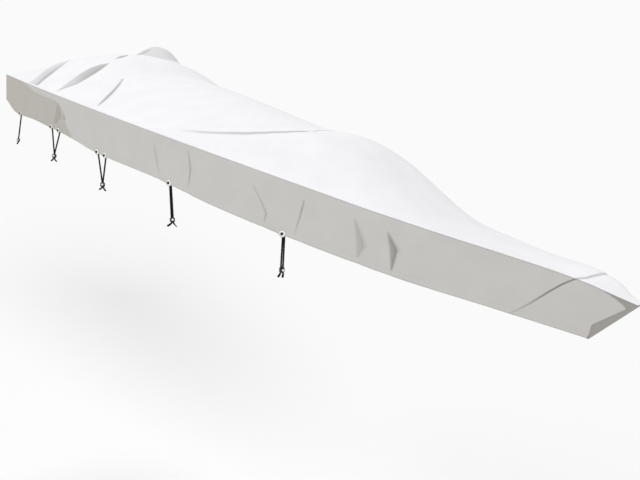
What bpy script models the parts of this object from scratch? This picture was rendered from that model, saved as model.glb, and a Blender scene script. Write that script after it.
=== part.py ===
"""Fitted cover for a small open motor boat, as it hangs on the boat.

+X points to the bow, +Y to port, +Z up, in metres.  The origin is under the
top panel, on the centreline at mid length, where the boat carries the cloth.
Every shape is first worked out in hull coordinates, with x from the transom
and z from the gunwale at the transom, and then moved to that origin.
"""
import math

import bmesh
import bpy
import numpy as np
from mathutils import Matrix, Vector

# ---- driving dimensions -------------------------------------------------
LENGTH = 5.0            # transom to the bow end of the gunwale
HALF_BEAM = 0.985       # widest half breadth
HALF_TRANSOM = 0.875    # half breadth at the transom
HALF_NOSE = 0.030       # half breadth of the blunt nose
NOSE_BULGE = 0.012      # how far the nose is rounded forward
WIDEST_AT = 0.30        # share of the length where the boat is widest
BOW_FULLNESS = 2.05     # exponent of the bow's outline
SHEER_DROP = 0.125      # how much lower the gunwale is at the bow
SHEER_POWER = 2.7
STEM_RAKE = 0.140       # hem at the stem lies this far aft of the gunwale
TRANSOM_RAKE = 0.042    # hem at the transom lies this far forward
SKIRT_INSET = 0.015     # hem hangs this far inside the gunwale
NOSE_INSET = 0.024      # and this far at the stem, where the skirts meet
CLOTH = 0.002           # thickness of the cloth
GAP = 0.0004            # clearance kept between touching pieces
SEAM_DROP = 0.0030      # top of the side skirts below the gunwale seam
NOSE_GAP = 0.0009       # half the gap between the side skirts under the bow band
STERN_DROP = 0.0046     # top of the transom skirt below the seam, which slopes more

# Height of the top on the centreline above the gunwale, from aft forward.
RIDGE = (
    # (x, height)
    (0.00, 0.120),
    (0.06, 0.245),
    (0.15, 0.271),
    (0.30, 0.339),
    (0.50, 0.418),
    (0.85, 0.462),
    (1.15, 0.470),
    (1.50, 0.384),
    (1.86, 0.372),
    (2.20, 0.349),
    (2.60, 0.318),
    (2.95, 0.295),
    (3.25, 0.318),
    (3.45, 0.269),
    (3.70, 0.080),
    (3.95, 0.000),
    (5.10, 0.000),
)
# Crown of the foredeck on the centreline above the gunwale.
FOREDECK = (
    # (x, height)
    (3.60, 0.000),
    (3.95, 0.017),
    (4.30, 0.029),
    (4.55, 0.033),
    (4.80, 0.056),
    (4.89, 0.047),
    (4.96, 0.018),
    (5.00, 0.010),
    (5.10, 0.000),
)
# Rise of the gunwale above that plain fall, as it nears the bow.
GUNWALE_LIFT = (
    # (x, lift)
    (3.85, 0.0000),
    (4.20, 0.0074),
    (4.45, 0.0162),
    (4.68, 0.0214),
    (4.80, 0.0190),
    (4.90, 0.0090),
    (5.00, 0.0000),
)
# Depth of the skirts below the plain fall, measured plumb.
SKIRT_DEPTH = (
    # (x, depth)
    (0.00, 0.213),
    (0.45, 0.270),
    (0.95, 0.249),
    (1.45, 0.248),
    (1.98, 0.270),
    (2.48, 0.262),
    (3.00, 0.284),
    (3.50, 0.290),
    (4.05, 0.286),
    (4.60, 0.256),
    (5.02, 0.235),
)

# The wrap-round windscreen that lifts the top.
SCREEN_X = 3.241         # crest of the screen on the centreline
SCREEN_SWEEP = 0.861     # how far its wings run aft
SCREEN_CURVE = 3.2      # exponent of the crest's outline in plan
SCREEN_WING = 0.90      # half breadth at which the sweep is measured
SCREEN_HALF = 0.95      # half width over its wings
SCREEN_HEIGHT = 0.287
SCREEN_FRONT = 1.054     # length of the slope down to the foredeck
SCREEN_BACK = 0.42      # length of the slope down into the cockpit

# A hump over a stern seat's back, and a hollow where the cloth sags.
HUMPS = (
    # (x, y, height, length radius, width radius)
    (0.455, 0.248, 0.195, 0.315, 0.213),
    (1.55, -0.30, -0.012, 0.30, 0.22),
)
# Tension folds in the top; a positive height is a ridge, a negative a trough.
TOP_FOLDS = (
    # (x1, y1, x2, y2, height, half width)
    (0.713, -0.930, 0.450, -0.555, 0.012, 0.050),
    (0.838, -0.935, 0.460, -0.560, -0.014, 0.045),
    (1.150, -0.930, 1.020, -0.560, 0.008, 0.050),
    (1.255, -0.930, 1.130, -0.560, -0.015, 0.050),
    (1.790, -0.940, 1.440, -0.600, -0.010, 0.040),
    (1.010, -0.460, 0.770, -0.230, -0.010, 0.040),
    (0.850, 0.930, 0.470, 0.550, -0.014, 0.050),
    (1.290, 0.935, 1.100, 0.540, -0.014, 0.055),
    (1.800, 0.940, 1.420, 0.580, -0.010, 0.050),
)
# Folds in the side skirts, from near the gunwale to the hem; the height is
# how far the cloth moves in or out there.
SKIRT_FOLDS = (
    # (x at top, x at hem, start depth share, height, half width)
    (1.300, 1.285, 0.20, -0.010, 0.040),
    (1.360, 1.560, 0.30, 0.008, 0.050),
    (2.455, 2.555, 0.28, -0.007, 0.030),
    (2.750, 2.795, 0.16, -0.009, 0.034),
    (3.180, 3.360, 0.32, -0.008, 0.036),
    (3.600, 3.590, 0.26, -0.008, 0.036),
    (3.800, 3.905, 0.24, -0.013, 0.042),
    (3.970, 4.085, 0.26, -0.016, 0.042),
    (4.757, 4.665, 0.00, 0.008, 0.034),
)
FOLD_CLEAR = 0.045      # folds fade out this near to an eyelet

# Eyelets, and the ties that hang from them.
EYELET_HOLE = 0.0063
EYELET_BARREL = 0.0072
EYELET_RING = 0.0170
FLANGE = 0.0011         # thickness of an eyelet's flanges
CLOTH_HOLE = 0.0080
EYELET_ABOVE = 0.006    # its middle lies this far above the hem's line
LOBE_DEPTH = 0.0135     # the hem dips round each eyelet
LOBE_HALF = 0.032
CORD_RADIUS = 0.0050
CORD_PAIR = 0.0053      # half spacing of two cords side by side
KNOT_RADIUS = 0.0084
KNOT_SEAT = 0.0024      # the knot rests this far in front of the skirt's face
KNOT_NECK = 0.0018      # the cord has its own size again this far in front
BEHIND = 0.0040         # the cord clears the eyelet's back flange this far in
STOP_HOLE = 0.0118
STOP_RADIUS = 0.0150
SINGLE_STOP_HOLE = 0.0062
SINGLE_STOP_RADIUS = 0.0115
STOP_HALF_HEIGHT = 0.0125
BUTTON_RADIUS = 0.0085
BUTTON_HEIGHT = 0.0045
TURN_RADIUS = 0.009     # bend of the cord behind its eyelet
BUTTON_TURN = 50.0      # degrees by which the buttons are turned towards the bow
CORD_STEP = 0.022       # spacing of the points along a cord
TURNED_SIDES = 10

# The ties on each side, from the stern forward.  A cord end reaches out and
# down from its stop, and its size there is a share of the cord's.
TIES = (
    # (name, eyelet x, second eyelet x or None, cords, stop drop, stop shift,
    #  aft end out, down and size, fore end out, down and size)
    ("1", 0.533, None, 1, 0.213, 0.022, 0.026, 0.036, 1.00, 0.0, 0.0, 0.0),
    ("2", 1.217, 1.351, 2, 0.191, 0.041, 0.040, 0.044, 1.10, 0.046, 0.030, 0.95),
    ("3", 1.917, 2.009, 2, 0.190, 0.066, 0.028, 0.038, 1.10, 0.042, 0.029, 0.95),
    ("4", 2.641, None, 2, 0.203, 0.078, 0.028, 0.046, 1.30, 0.042, 0.028, 0.65),
    ("5", 3.471, None, 2, 0.190, 0.045, 0.012, 0.044, 1.25, 0.014, 0.038, 1.25),
)

# The bow band: how far it reaches aft of the stem at each depth share.
BAND = (
    # (depth share, reach aft)
    (0.00, 0.150),
    (0.05, 0.075),
    (0.11, 0.030),
    (0.16, 0.016),
    (0.42, 0.030),
    (0.68, 0.052),
    (0.90, 0.024),
    (1.00, 0.016),
)

BAND_STEPS = 4          # columns of the band on each side of the nose

# How full the curves across the top are, as powers of the share across, and
# how softly they run into each other.
ARCH_POWER = 2.15
SCREEN_POWER = 3.0
DECK_POWER = 2.4
SCREEN_EDGE_POWER = 7
HUMP_EDGE_POWER = 6
FOLD_EDGE_POWER = 8
HUMP_POWER = 1.3
SCREEN_SOFTNESS = 0.020
DECK_SOFTNESS = 0.012
FOLD_START = (-0.12, 0.25)      # share of a fold's length over which it rises
FOLD_FINISH = (0.70, 1.15)      # and over which it dies away

# Shares of the length where the ends of the hull begin, and shares of the
# skirt's depth where its folds and its dips at the eyelets begin.
NOSE_FROM = 0.92
RAKE_FROM = 0.55
RAKE_UNTIL = 0.12
INSET_FROM = 0.90
FOLDS_UNTIL = 0.97
FOLD_GROWS = 0.35
FOLD_FULL = 0.25
FOLD_CLEARS = (0.4, 1.6)        # shares of FOLD_CLEAR
LOBE_FROM = 0.55

# Shapes of the small turned pieces, as shares of their size.
CROWN_IN = 0.0040               # the eyelet's crown stands this far in from its rim
CROWN_RISE = 1.3
STOP_SHOULDER = 0.6
STOP_WAIST = 0.45
BUTTON_PROFILE = ((0.10, 1.00), (0.60, 0.85), (1.00, 0.40), (1.00, 0.00), (0.10, 0.00))

# The knot: reach in front of the skirt's face, and share of its radius.
KNOT = ((0.0085, 0.62), (0.0070, 0.95), (0.0042, 1.00), (KNOT_SEAT, 0.94))
TURN_DEGREES = (0.0, 45.0, 90.0)

# How the cords run in and out of their stop.
STOP_ENTRY = 0.012
STOP_EXIT = 0.006
ENTRY_SPREAD = 1.15
EXIT_SPREAD = 0.0030
END_SAG = 0.002

# Colour, roughness and metallic value of each material.
FINISHES = {
    "top_cloth": ((0.90, 0.88, 0.92), 0.70, 0.0),
    "skirt_cloth": ((0.54, 0.53, 0.51), 0.75, 0.0),
    "band_cloth": ((0.35, 0.33, 0.31), 0.80, 0.0),
    "eyelet": ((0.93, 0.92, 0.88), 0.35, 0.0),
    "stop": ((0.015, 0.015, 0.017), 0.45, 0.0),
    "button": ((0.92, 0.91, 0.88), 0.35, 0.0),
    "cord": ((0.012, 0.012, 0.014), 0.85, 0.0),
}


# ---- small helpers ------------------------------------------------------
def smooth(low, high, value):
    """Smoothstep from 0 at low to 1 at high."""
    share = np.clip((np.asarray(value, float) - low) / (high - low), 0.0, 1.0)
    return share * share * (3.0 - 2.0 * share)


def through(table, value):
    """Monotone cubic curve through the rows (place, height) of a table."""
    place = np.array([row[0] for row in table], float)
    height = np.array([row[1] for row in table], float)
    step = np.diff(place)
    slope = np.diff(height) / step
    left, right = slope[:-1], slope[1:]
    same = left * right > 0
    inner = np.zeros(len(place) - 2)
    inner[same] = 2 * left[same] * right[same] / (left[same] + right[same])
    tangent = np.concatenate(([slope[0]], inner, [slope[-1]]))
    value = np.clip(np.asarray(value, float), place[0], place[-1])
    cell = np.clip(np.searchsorted(place, value) - 1, 0, len(step) - 1)
    t = (value - place[cell]) / step[cell]
    rise = height[cell + 1] - height[cell]
    start = tangent[cell] * step[cell]
    finish = tangent[cell + 1] * step[cell]
    return (height[cell] + start * t + (3 * rise - 2 * start - finish) * t ** 2
            + (start + finish - 2 * rise) * t ** 3)


def blend_max(first, second, soft):
    """Larger of two heights, rounded over where they cross."""
    return 0.5 * (first + second + np.sqrt((first - second) ** 2 + soft ** 2) - soft)


# ---- hull lines ---------------------------------------------------------
def half_breadth(x):
    """Half breadth of the gunwale: a parabola aft, a fuller curve forward."""
    share = np.clip(np.asarray(x, float) / LENGTH, 0.0, 1.0)
    aft = HALF_BEAM - (HALF_BEAM - HALF_TRANSOM) * ((WIDEST_AT - share) / WIDEST_AT) ** 2
    forward = np.clip((share - WIDEST_AT) / (1 - WIDEST_AT), 0.0, 1.0)
    bow = HALF_NOSE + (HALF_BEAM - HALF_NOSE) * (1 - forward ** BOW_FULLNESS)
    return np.where(share < WIDEST_AT, aft, bow)


def gunwale_height(x):
    """The gunwale falls gently towards the bow."""
    share = np.clip(np.asarray(x, float) / LENGTH, 0.0, 1.0)
    return through(GUNWALE_LIFT, x) - SHEER_DROP * share ** SHEER_POWER


def plan_point(x, across):
    """Plan place at a length x and a share across, -1 starboard to 1 port."""
    nose = NOSE_BULGE * (1 - across ** 2) * smooth(NOSE_FROM * LENGTH, LENGTH, x)
    return x + nose, half_breadth(x) * across


def top_height(x, across):
    """Height of the top above the gunwale.

    The cockpit cover is an arch under the ridge, the screen a swept crest
    with a long front slope, and the foredeck a low crown; the tallest wins,
    and humps and folds are added, fading out at the gunwale.
    """
    y = half_breadth(x) * across
    side = np.abs(across)
    arch = through(RIDGE, x) * (1 - side ** ARCH_POWER)
    crest = SCREEN_X - SCREEN_SWEEP * (np.abs(y) / SCREEN_WING) ** SCREEN_CURVE
    tall = SCREEN_HEIGHT * np.clip(1 - (np.abs(y) / SCREEN_HALF) ** SCREEN_POWER, 0.0, 1.0)
    ahead = smooth(0.0, SCREEN_FRONT, x - crest)
    behind = smooth(0.0, SCREEN_BACK, crest - x)
    screen = tall * (1 - ahead) * (1 - behind) * (1 - side ** SCREEN_EDGE_POWER)
    deck = through(FOREDECK, x) * (1 - side ** DECK_POWER)
    height = blend_max(blend_max(arch, screen, SCREEN_SOFTNESS), deck, DECK_SOFTNESS)
    fade = 1 - side ** HUMP_EDGE_POWER
    for hump_x, hump_y, rise, long_r, wide_r in HUMPS:
        spread = ((x - hump_x) / long_r) ** 2 + ((y - hump_y) / wide_r) ** 2
        height = height + rise * np.exp(-spread ** HUMP_POWER) * fade
    for x1, y1, x2, y2, rise, half in TOP_FOLDS:
        along_x, along_y = x2 - x1, y2 - y1
        run = math.hypot(along_x, along_y)
        t = ((x - x1) * along_x + (y - y1) * along_y) / run ** 2
        off = ((x - x1) * along_y - (y - y1) * along_x) / run
        ends = smooth(*FOLD_START, t) * (1 - smooth(*FOLD_FINISH, t))
        height = height + rise * np.exp(-(off / half) ** 2) * ends * (1 - side ** FOLD_EDGE_POWER)
    return height


ORIGIN = Vector((LENGTH / 2, 0.0, float(
    gunwale_height(LENGTH / 2) + top_height(np.array([LENGTH / 2]), np.array([0.0]))[0]) - CLOTH))


def eyelet_places():
    """Length position of every eyelet on one side, with its name."""
    places = []
    for name, first, second, *_rest in TIES:
        if second is None:
            places.append((name, first))
        else:
            places.append((name + "a", first))
            places.append((name + "b", second))
    return places


def hem_depth(x):
    """Depth of the hem below the gunwale, without the dips at the eyelets."""
    return through(SKIRT_DEPTH, x) + through(GUNWALE_LIFT, x)


def skirt_point(x, across, share):
    """Place on the starboard or port skirt at a depth share 0 to 1.

    The hem hangs inside the gunwale, the stem rakes aft and the transom
    rakes forward; across is -1 to 1 and leaves the side only on the nose.
    """
    plan_x, plan_y = plan_point(x, across)
    depth = hem_depth(x)
    for _name, place in eyelet_places():
        near = np.clip(np.abs(x - place) / LOBE_HALF, 0.0, 1.0)
        depth = depth + LOBE_DEPTH * 0.5 * (1 + np.cos(math.pi * near)) * smooth(LOBE_FROM, 1.0, share)
    raked = -STEM_RAKE * smooth(RAKE_FROM * LENGTH, LENGTH, x)
    raked = raked + TRANSOM_RAKE * (1 - smooth(0.0, RAKE_UNTIL * LENGTH, x))
    inset = SKIRT_INSET + (NOSE_INSET - SKIRT_INSET) * smooth(INSET_FROM * LENGTH, LENGTH, x)
    push = np.zeros_like(plan_x)
    for top_x, hem_x, start, rise, half in SKIRT_FOLDS:
        centre = top_x + (hem_x - top_x) * share
        body = smooth(start, start + FOLD_GROWS, share) if start > 0 else np.ones_like(share)
        push = push + rise * np.exp(-((x - centre) / half) ** 2) * body
    for _name, place in eyelet_places():
        clear = np.abs(x - place) / FOLD_CLEAR
        push = push * smooth(*FOLD_CLEARS, clear)
    push = push * smooth(0.0, FOLD_FULL, share) * (1 - smooth(FOLDS_UNTIL * LENGTH, LENGTH, x))
    drop = SEAM_DROP + (depth - SEAM_DROP) * share
    fallen = drop / hem_depth(x)
    side = np.sign(across)
    out = -inset * fallen + push
    nose = (plan_x - x) * (1 - share)
    return x + nose + raked * fallen, plan_y + side * out * np.abs(across), gunwale_height(x) - drop


# ---- scene and helpers that make objects --------------------------------
for old in list(bpy.data.objects):
    bpy.data.objects.remove(old, do_unlink=True)
model = bpy.data.collections.new("boat_cover")
cutters = bpy.data.collections.new("cutters")
bpy.context.scene.collection.children.link(model)
bpy.context.scene.collection.children.link(cutters)


def finish(name):
    """Principled material with the named finish."""
    material = bpy.data.materials.get(name)
    if material is None:
        colour, roughness, metallic = FINISHES[name]
        material = bpy.data.materials.new(name)
        material.use_nodes = True
        shader = material.node_tree.nodes["Principled BSDF"]
        shader.inputs["Base Color"].default_value = (*colour, 1.0)
        shader.inputs["Roughness"].default_value = roughness
        shader.inputs["Metallic"].default_value = metallic
    return material


def settle(thing, name, look, collection):
    """Name an object, give it its material and put it in its collection."""
    thing.name = name
    thing.data.name = name
    for home in list(thing.users_collection):
        home.objects.unlink(thing)
    collection.objects.link(thing)
    if look is not None:
        thing.data.materials.clear()
        thing.data.materials.append(finish(look))
    return thing


def cloth_sheet(name, look, columns, rows, place, inward):
    """Grid of columns by rows, bent by place(i, j) and thickened inward.

    place takes arrays of column and row numbers and returns x, y and z in
    hull coordinates.
    """
    bpy.ops.mesh.primitive_grid_add(x_subdivisions=columns, y_subdivisions=rows, size=2.0)
    sheet = bpy.context.object
    flat = np.array([vertex.co[:] for vertex in sheet.data.vertices])
    column = np.rint((flat[:, 0] + 1) / 2 * columns).astype(int)
    row = np.rint((flat[:, 1] + 1) / 2 * rows).astype(int)
    x, y, z = place(column, row)
    bent = np.stack([x, y, z], axis=1) - np.array(ORIGIN)
    sheet.data.vertices.foreach_set("co", bent.astype(np.float32).ravel())
    sheet.data.update()
    if inward:
        sheet.data.flip_normals()
    solid = sheet.modifiers.new("cloth", "SOLIDIFY")
    solid.thickness = CLOTH
    solid.offset = -1.0
    solid.use_even_offset = True
    return settle(sheet, name, look, model)


# ---- top panel ----------------------------------------------------------
TOP_COLUMNS = 60
TOP_ROWS = 18
STATION_POWER = 1.2
ROW_EASE = 0.25         # share of the rows' spacing that closes up at the edges


def top_station(column):
    """Length of a column: closer together at the stern, where the folds are."""
    return LENGTH * (column / TOP_COLUMNS) ** STATION_POWER


def top_place(column, row):
    """Place of a grid point of the top panel."""
    x = top_station(column)
    even = 2 * row / TOP_ROWS - 1
    across = (1 - ROW_EASE) * even + ROW_EASE * np.sin(even * math.pi / 2)
    plan_x, plan_y = plan_point(x, across)
    return plan_x, plan_y, gunwale_height(x) + top_height(x, across)


def make_top():
    """Top panel, one sheet from transom to bow."""
    return cloth_sheet("cover_top", "top_cloth", TOP_COLUMNS, TOP_ROWS, top_place, False)


# ---- skirts -------------------------------------------------------------
SKIRT_SPACING = 0.085
SKIRT_ROWS = 3
NOSE_STEPS = (0.5, 0.0)


def skirt_stations():
    """Columns of a side skirt as (x, share of the half breadth)."""
    even = list(np.linspace(0.0, LENGTH, int(LENGTH / SKIRT_SPACING) + 1))
    for _name, place in eyelet_places():
        even = [x for x in even if abs(x - place) > 1.25 * LOBE_HALF]
        even += [place + step * LOBE_HALF for step in (-1.0, -0.5, 0.0, 0.5, 1.0)]
    return [(x, 1.0) for x in sorted(even)] + [(LENGTH, share) for share in NOSE_STEPS]


def make_side_skirt(name, side):
    """Side skirt; side is -1 for starboard and 1 for port."""
    stations = np.array(skirt_stations())
    columns = len(stations) - 1

    def place(column, row):
        x = stations[column, 0]
        across = stations[column, 1]
        share = row / SKIRT_ROWS
        px, py, pz = skirt_point(x, across * side, share)
        return px, np.where(np.abs(py) < NOSE_GAP, side * NOSE_GAP, py), pz

    return cloth_sheet(name, "skirt_cloth", columns, SKIRT_ROWS, place, side < 0)


def make_transom_skirt():
    """Skirt across the stern, between the two side skirts."""
    columns = 20

    def place(column, row):
        across = 2 * column / columns - 1
        share = row / SKIRT_ROWS
        zero = np.zeros(len(column))
        arch = top_height(zero, across)
        drop = STERN_DROP + (hem_depth(zero) - STERN_DROP) * share
        fallen = drop / hem_depth(zero)
        half = HALF_TRANSOM - SKIRT_INSET * fallen - CLOTH - GAP
        return TRANSOM_RAKE * fallen, half * across, arch * (1 - share) - drop

    return cloth_sheet("skirt_transom", "skirt_cloth", columns, SKIRT_ROWS, place, False)


# ---- bow band -----------------------------------------------------------
def band_lattice():
    """Points of the band's outer face, columns round the stem by rows down.

    Each point lies on the skirts' face and is pushed out along its normal.
    """
    shares = np.array([row[0] for row in BAND])
    reach = np.array([row[1] for row in BAND])
    steps = np.arange(1, BAND_STEPS + 1) / BAND_STEPS
    sides = []
    for side in (-1.0, 1.0):
        x = np.full((len(NOSE_STEPS), len(shares)), LENGTH)
        x = np.vstack((LENGTH - reach[None, :] * steps[::-1, None], np.full(len(shares), LENGTH), x))
        nose = np.repeat(np.array(NOSE_STEPS)[:, None], len(shares), axis=1)
        across = np.vstack((np.ones((BAND_STEPS + 1, len(shares))), nose)) * side
        depth = np.repeat(shares[None, :], len(x), axis=0)
        sides.append(np.stack(skirt_point(x, across, depth), axis=2))
    lattice = np.concatenate((sides[0], sides[1][-2::-1]), axis=0)
    round_stem = np.gradient(lattice, axis=0)
    downward = np.gradient(lattice, axis=1)
    normal = np.cross(downward, round_stem)
    normal /= np.linalg.norm(normal, axis=2, keepdims=True)
    middle = len(lattice) // 2
    normal *= np.sign(normal[middle, 0, 0])
    return lattice + normal * (CLOTH + 2 * GAP)


def make_bow_band():
    """Chafe band round the stem, just outside the skirts."""
    lattice = band_lattice()
    columns, rows = lattice.shape[0] - 1, lattice.shape[1] - 1

    def place(column, row):
        return lattice[column, row].T

    return cloth_sheet("bow_band", "band_cloth", columns, rows, place, True)


# ---- eyelets and cord stops --------------------------------------------------
def turned(name, profile, look, collection):
    """Ring turned about Z from a closed profile of (radius, height) points."""
    mesh = bpy.data.meshes.new(name)
    shape = bmesh.new()
    corners = [shape.verts.new((radius, 0.0, height)) for radius, height in profile]
    for first, second in zip(corners, corners[1:] + corners[:1]):
        shape.edges.new((first, second))
    shape.to_mesh(mesh)
    shape.free()
    ring = bpy.data.objects.new(name, mesh)
    collection.objects.link(ring)
    screw = ring.modifiers.new("turn", "SCREW")
    screw.steps = TURNED_SIDES
    screw.render_steps = TURNED_SIDES
    screw.use_merge_vertices = True
    screw.merge_threshold = 0.00001
    screw.use_smooth_shade = False
    return settle(ring, name, look, collection)


def eyelet_profile():
    """Barrel through the cloth with a domed flange on each face."""
    face = CLOTH / 2 + GAP
    return (
        (EYELET_HOLE, face + FLANGE),
        (EYELET_RING - CROWN_IN, face + CROWN_RISE * FLANGE),
        (EYELET_RING, face),
        (EYELET_BARREL, face),
        (EYELET_BARREL, -face),
        (EYELET_RING, -face),
        (EYELET_HOLE, -face - FLANGE),
    )


def stop_profile(hole, radius):
    """Barrel-shaped cord stop."""
    half = STOP_HALF_HEIGHT
    shoulder = hole + STOP_SHOULDER * (radius - hole)
    return (
        (hole, half),
        (shoulder, half),
        (radius, STOP_WAIST * half),
        (radius, -STOP_WAIST * half),
        (shoulder, -half),
        (hole, -half),
    )


def button_profile():
    """Domed button of a cord stop, open at a pin hole on its axis."""
    return tuple((radius * BUTTON_RADIUS, height * BUTTON_HEIGHT) for radius, height in BUTTON_PROFILE)


def aimed(place, axis, along):
    """Matrix that puts an object at place with its Z on axis."""
    axis = axis.normalized()
    first = (along - along.dot(axis) * axis).normalized()
    second = axis.cross(first)
    turn = Matrix((first, second, axis)).transposed().to_4x4()
    return Matrix.Translation(place) @ turn


def skirt_vector(x, side, share):
    """One point of a side skirt as a vector in the part's frame."""
    px, py, pz = skirt_point(np.array([x]), np.array([float(side)]), np.array([share]))
    return Vector((float(px[0]), float(py[0]), float(pz[0]))) - ORIGIN


def eyelet_frame(x, side):
    """Centre, outward normal and forward tangent of an eyelet on its facet.

    The eyelet lies on the lowest row of the skirt, a little above the height
    where the hem would run without its dip.
    """
    upper = skirt_vector(x, side, (SKIRT_ROWS - 1) / SKIRT_ROWS)
    lower = skirt_vector(x, side, 1.0)
    gunwale = float(gunwale_height(x)) - ORIGIN.z
    target = gunwale - float(hem_depth(np.array([x]))[0]) + EYELET_ABOVE
    centre = upper.lerp(lower, (upper.z - target) / (upper.z - lower.z))
    step = 0.5 * LOBE_HALF
    forward = skirt_vector(x + step, side, 1.0) - skirt_vector(x - step, side, 1.0)
    forward.z = 0.0
    forward.normalize()
    outward = forward.cross(Vector((0.0, 0.0, 1.0))) if side < 0 else Vector((0.0, 0.0, 1.0)).cross(forward)
    fall = (lower - upper).normalized()
    outward = (outward - outward.dot(fall) * fall).normalized()
    return centre, outward, forward


def make_eyelets(side, letter):
    """Eyelets of one side, and the cutters for their holes in the skirt."""
    holes = bpy.data.collections.new("holes_" + letter)
    cutters.children.link(holes)
    for name, x in eyelet_places():
        centre, outward, forward = eyelet_frame(x, side)
        ring = turned("eyelet_" + letter + name, eyelet_profile(), "eyelet", model)
        ring.matrix_world = aimed(centre - outward * CLOTH / 2, outward, forward)
        bpy.ops.mesh.primitive_cylinder_add(vertices=TURNED_SIDES, radius=CLOTH_HOLE, depth=6 * CLOTH)
        hole = settle(bpy.context.object, "hole_" + letter + name, None, holes)
        hole.matrix_world = aimed(centre - outward * CLOTH / 2, outward, forward)
        hole.hide_render = True
        hole.display_type = "WIRE"
    return holes


def cut_holes(skirt, holes):
    """Cut the eyelets' holes through a skirt."""
    cut = skirt.modifiers.new("eyelet_holes", "BOOLEAN")
    cut.operation = "DIFFERENCE"
    cut.operand_type = "COLLECTION"
    cut.collection = holes
    cut.solver = "EXACT"


# ---- ties ---------------------------------------------------------------
def smooth_route(stops):
    """Catmull-Rom curve through (point, radius) stops, as closer stops."""
    route = [stops[0]]
    for index in range(len(stops) - 1):
        before = stops[max(index - 1, 0)][0]
        first, first_radius = stops[index]
        second, second_radius = stops[index + 1]
        after = stops[min(index + 2, len(stops) - 1)][0]
        parts = max(1, round((second - first).length / CORD_STEP))
        for part in range(1, parts + 1):
            t = part / parts
            point = 0.5 * ((2 * first) + (second - before) * t
                           + (2 * before - 5 * first + 4 * second - after) * t ** 2
                           + (3 * first - before - 3 * second + after) * t ** 3)
            route.append((point, first_radius + (second_radius - first_radius) * t))
    return route


def make_cord(name, stops):
    """Cord as a round tube through its stops, with closed ends."""
    route = smooth_route(stops)
    curve = bpy.data.curves.new(name, "CURVE")
    curve.dimensions = "3D"
    curve.bevel_depth = CORD_RADIUS
    curve.bevel_resolution = 2
    curve.use_fill_caps = True
    line = curve.splines.new("POLY")
    line.points.add(len(route) - 1)
    for knot, (point, radius) in zip(line.points, route):
        knot.co = (*point, 1.0)
        knot.radius = radius / CORD_RADIUS
    cord = bpy.data.objects.new(name, curve)
    model.objects.link(cord)
    return settle(cord, name, "cord", model)


def knotted_start(centre, outward):
    """Stops from the knot through the eyelet and round behind the skirt."""
    up = Vector((0.0, 0.0, 1.0))
    level = (outward - outward.dot(up) * up).normalized()
    stops = []
    for reach, size in KNOT:
        stops.append((centre + outward * reach, KNOT_RADIUS * size))
    stops.append((centre + outward * KNOT_NECK, CORD_RADIUS))
    for degrees in TURN_DEGREES:
        angle = math.radians(degrees)
        inward = BEHIND + TURN_RADIUS * math.sin(angle)
        down = TURN_RADIUS * (1 - math.cos(angle))
        stops.append((centre - level * inward - up * down, CORD_RADIUS))
    return stops


def plain_start(centre, outward, forward):
    """Stops of a second cord, which starts flat behind the same eyelet."""
    beside = centre - outward * (BEHIND + TURN_RADIUS) + forward * 2 * CORD_PAIR
    return [(beside, CORD_RADIUS), (beside - Vector((0.0, 0.0, TURN_RADIUS)), CORD_RADIUS)]


def make_stop(name, place, fall, forward, outward, single):
    """Cord stop with its button, which faces outward and towards the bow."""
    hole = SINGLE_STOP_HOLE if single else STOP_HOLE
    radius = SINGLE_STOP_RADIUS if single else STOP_RADIUS
    turn = math.radians(BUTTON_TURN)
    ahead = (forward - forward.dot(fall) * fall).normalized()
    facing = outward * math.cos(turn) + ahead * math.sin(turn)
    body = turned("stop_" + name, stop_profile(hole, radius), "stop", model)
    body.matrix_world = aimed(place, fall, fall.cross(facing))
    button = turned("button_" + name, button_profile(), "button", model)
    seat = radius * math.cos(math.pi / TURNED_SIDES) + GAP
    button.matrix_world = aimed(place + facing * seat, facing, fall)


def make_tie(side, letter, row):
    """Cords and cord stop of one tie."""
    (name, first, second, cords, drop, lead, aft_out, aft_down, aft_size,
     fore_out, fore_down, fore_size) = row
    up = Vector((0.0, 0.0, 1.0))
    frames = [eyelet_frame(x, side) for x in (first, second) if x is not None]
    middle = sum((frame[0] for frame in frames), Vector()) / len(frames)
    outward = sum((frame[1] for frame in frames), Vector())
    outward.z = 0.0
    outward.normalize()
    forward = Vector((0.0, 0.0, 1.0)).cross(outward) * -side
    single = cords == 1
    stop = middle - up * drop + forward * lead - outward * (BEHIND + TURN_RADIUS)
    fall = (forward * lead - up * drop).normalized()
    beside = (forward - forward.dot(fall) * fall).normalized()
    make_stop(letter + name, stop, fall, forward, outward, single)
    ends = ((-1.0, aft_out, aft_down, aft_size, "a"), (1.0, fore_out, fore_down, fore_size, "b"))
    for order, (way, out, down, size, tag) in enumerate(ends[:cords]):
        centre, normal, along = frames[order % len(frames)]
        if order < len(frames):
            stops = knotted_start(centre, normal)
        else:
            stops = plain_start(centre, normal, along)
        offset = 0.0 if single else way * CORD_PAIR
        above = stop - fall * (STOP_HALF_HEIGHT + STOP_ENTRY) + beside * (offset * ENTRY_SPREAD)
        start = stops[-1][0]
        stops.append((start.lerp(above, 0.5), CORD_RADIUS))
        stops.append((above, CORD_RADIUS))
        for reach in (-STOP_HALF_HEIGHT, STOP_HALF_HEIGHT):
            stops.append((stop + fall * reach + beside * offset, CORD_RADIUS))
        spread = beside * (offset + way * EXIT_SPREAD)
        leave = stop + fall * (STOP_HALF_HEIGHT + STOP_EXIT) + spread
        stops.append((leave, CORD_RADIUS))
        tip = stop - up * down + forward * (way * out) - outward * END_SAG
        stops.append((leave.lerp(tip, 0.5) - up * END_SAG, CORD_RADIUS * size))
        stops.append((tip, CORD_RADIUS * size))
        label = "" if single else tag
        make_cord("cord_" + letter + name + label, stops)


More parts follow.
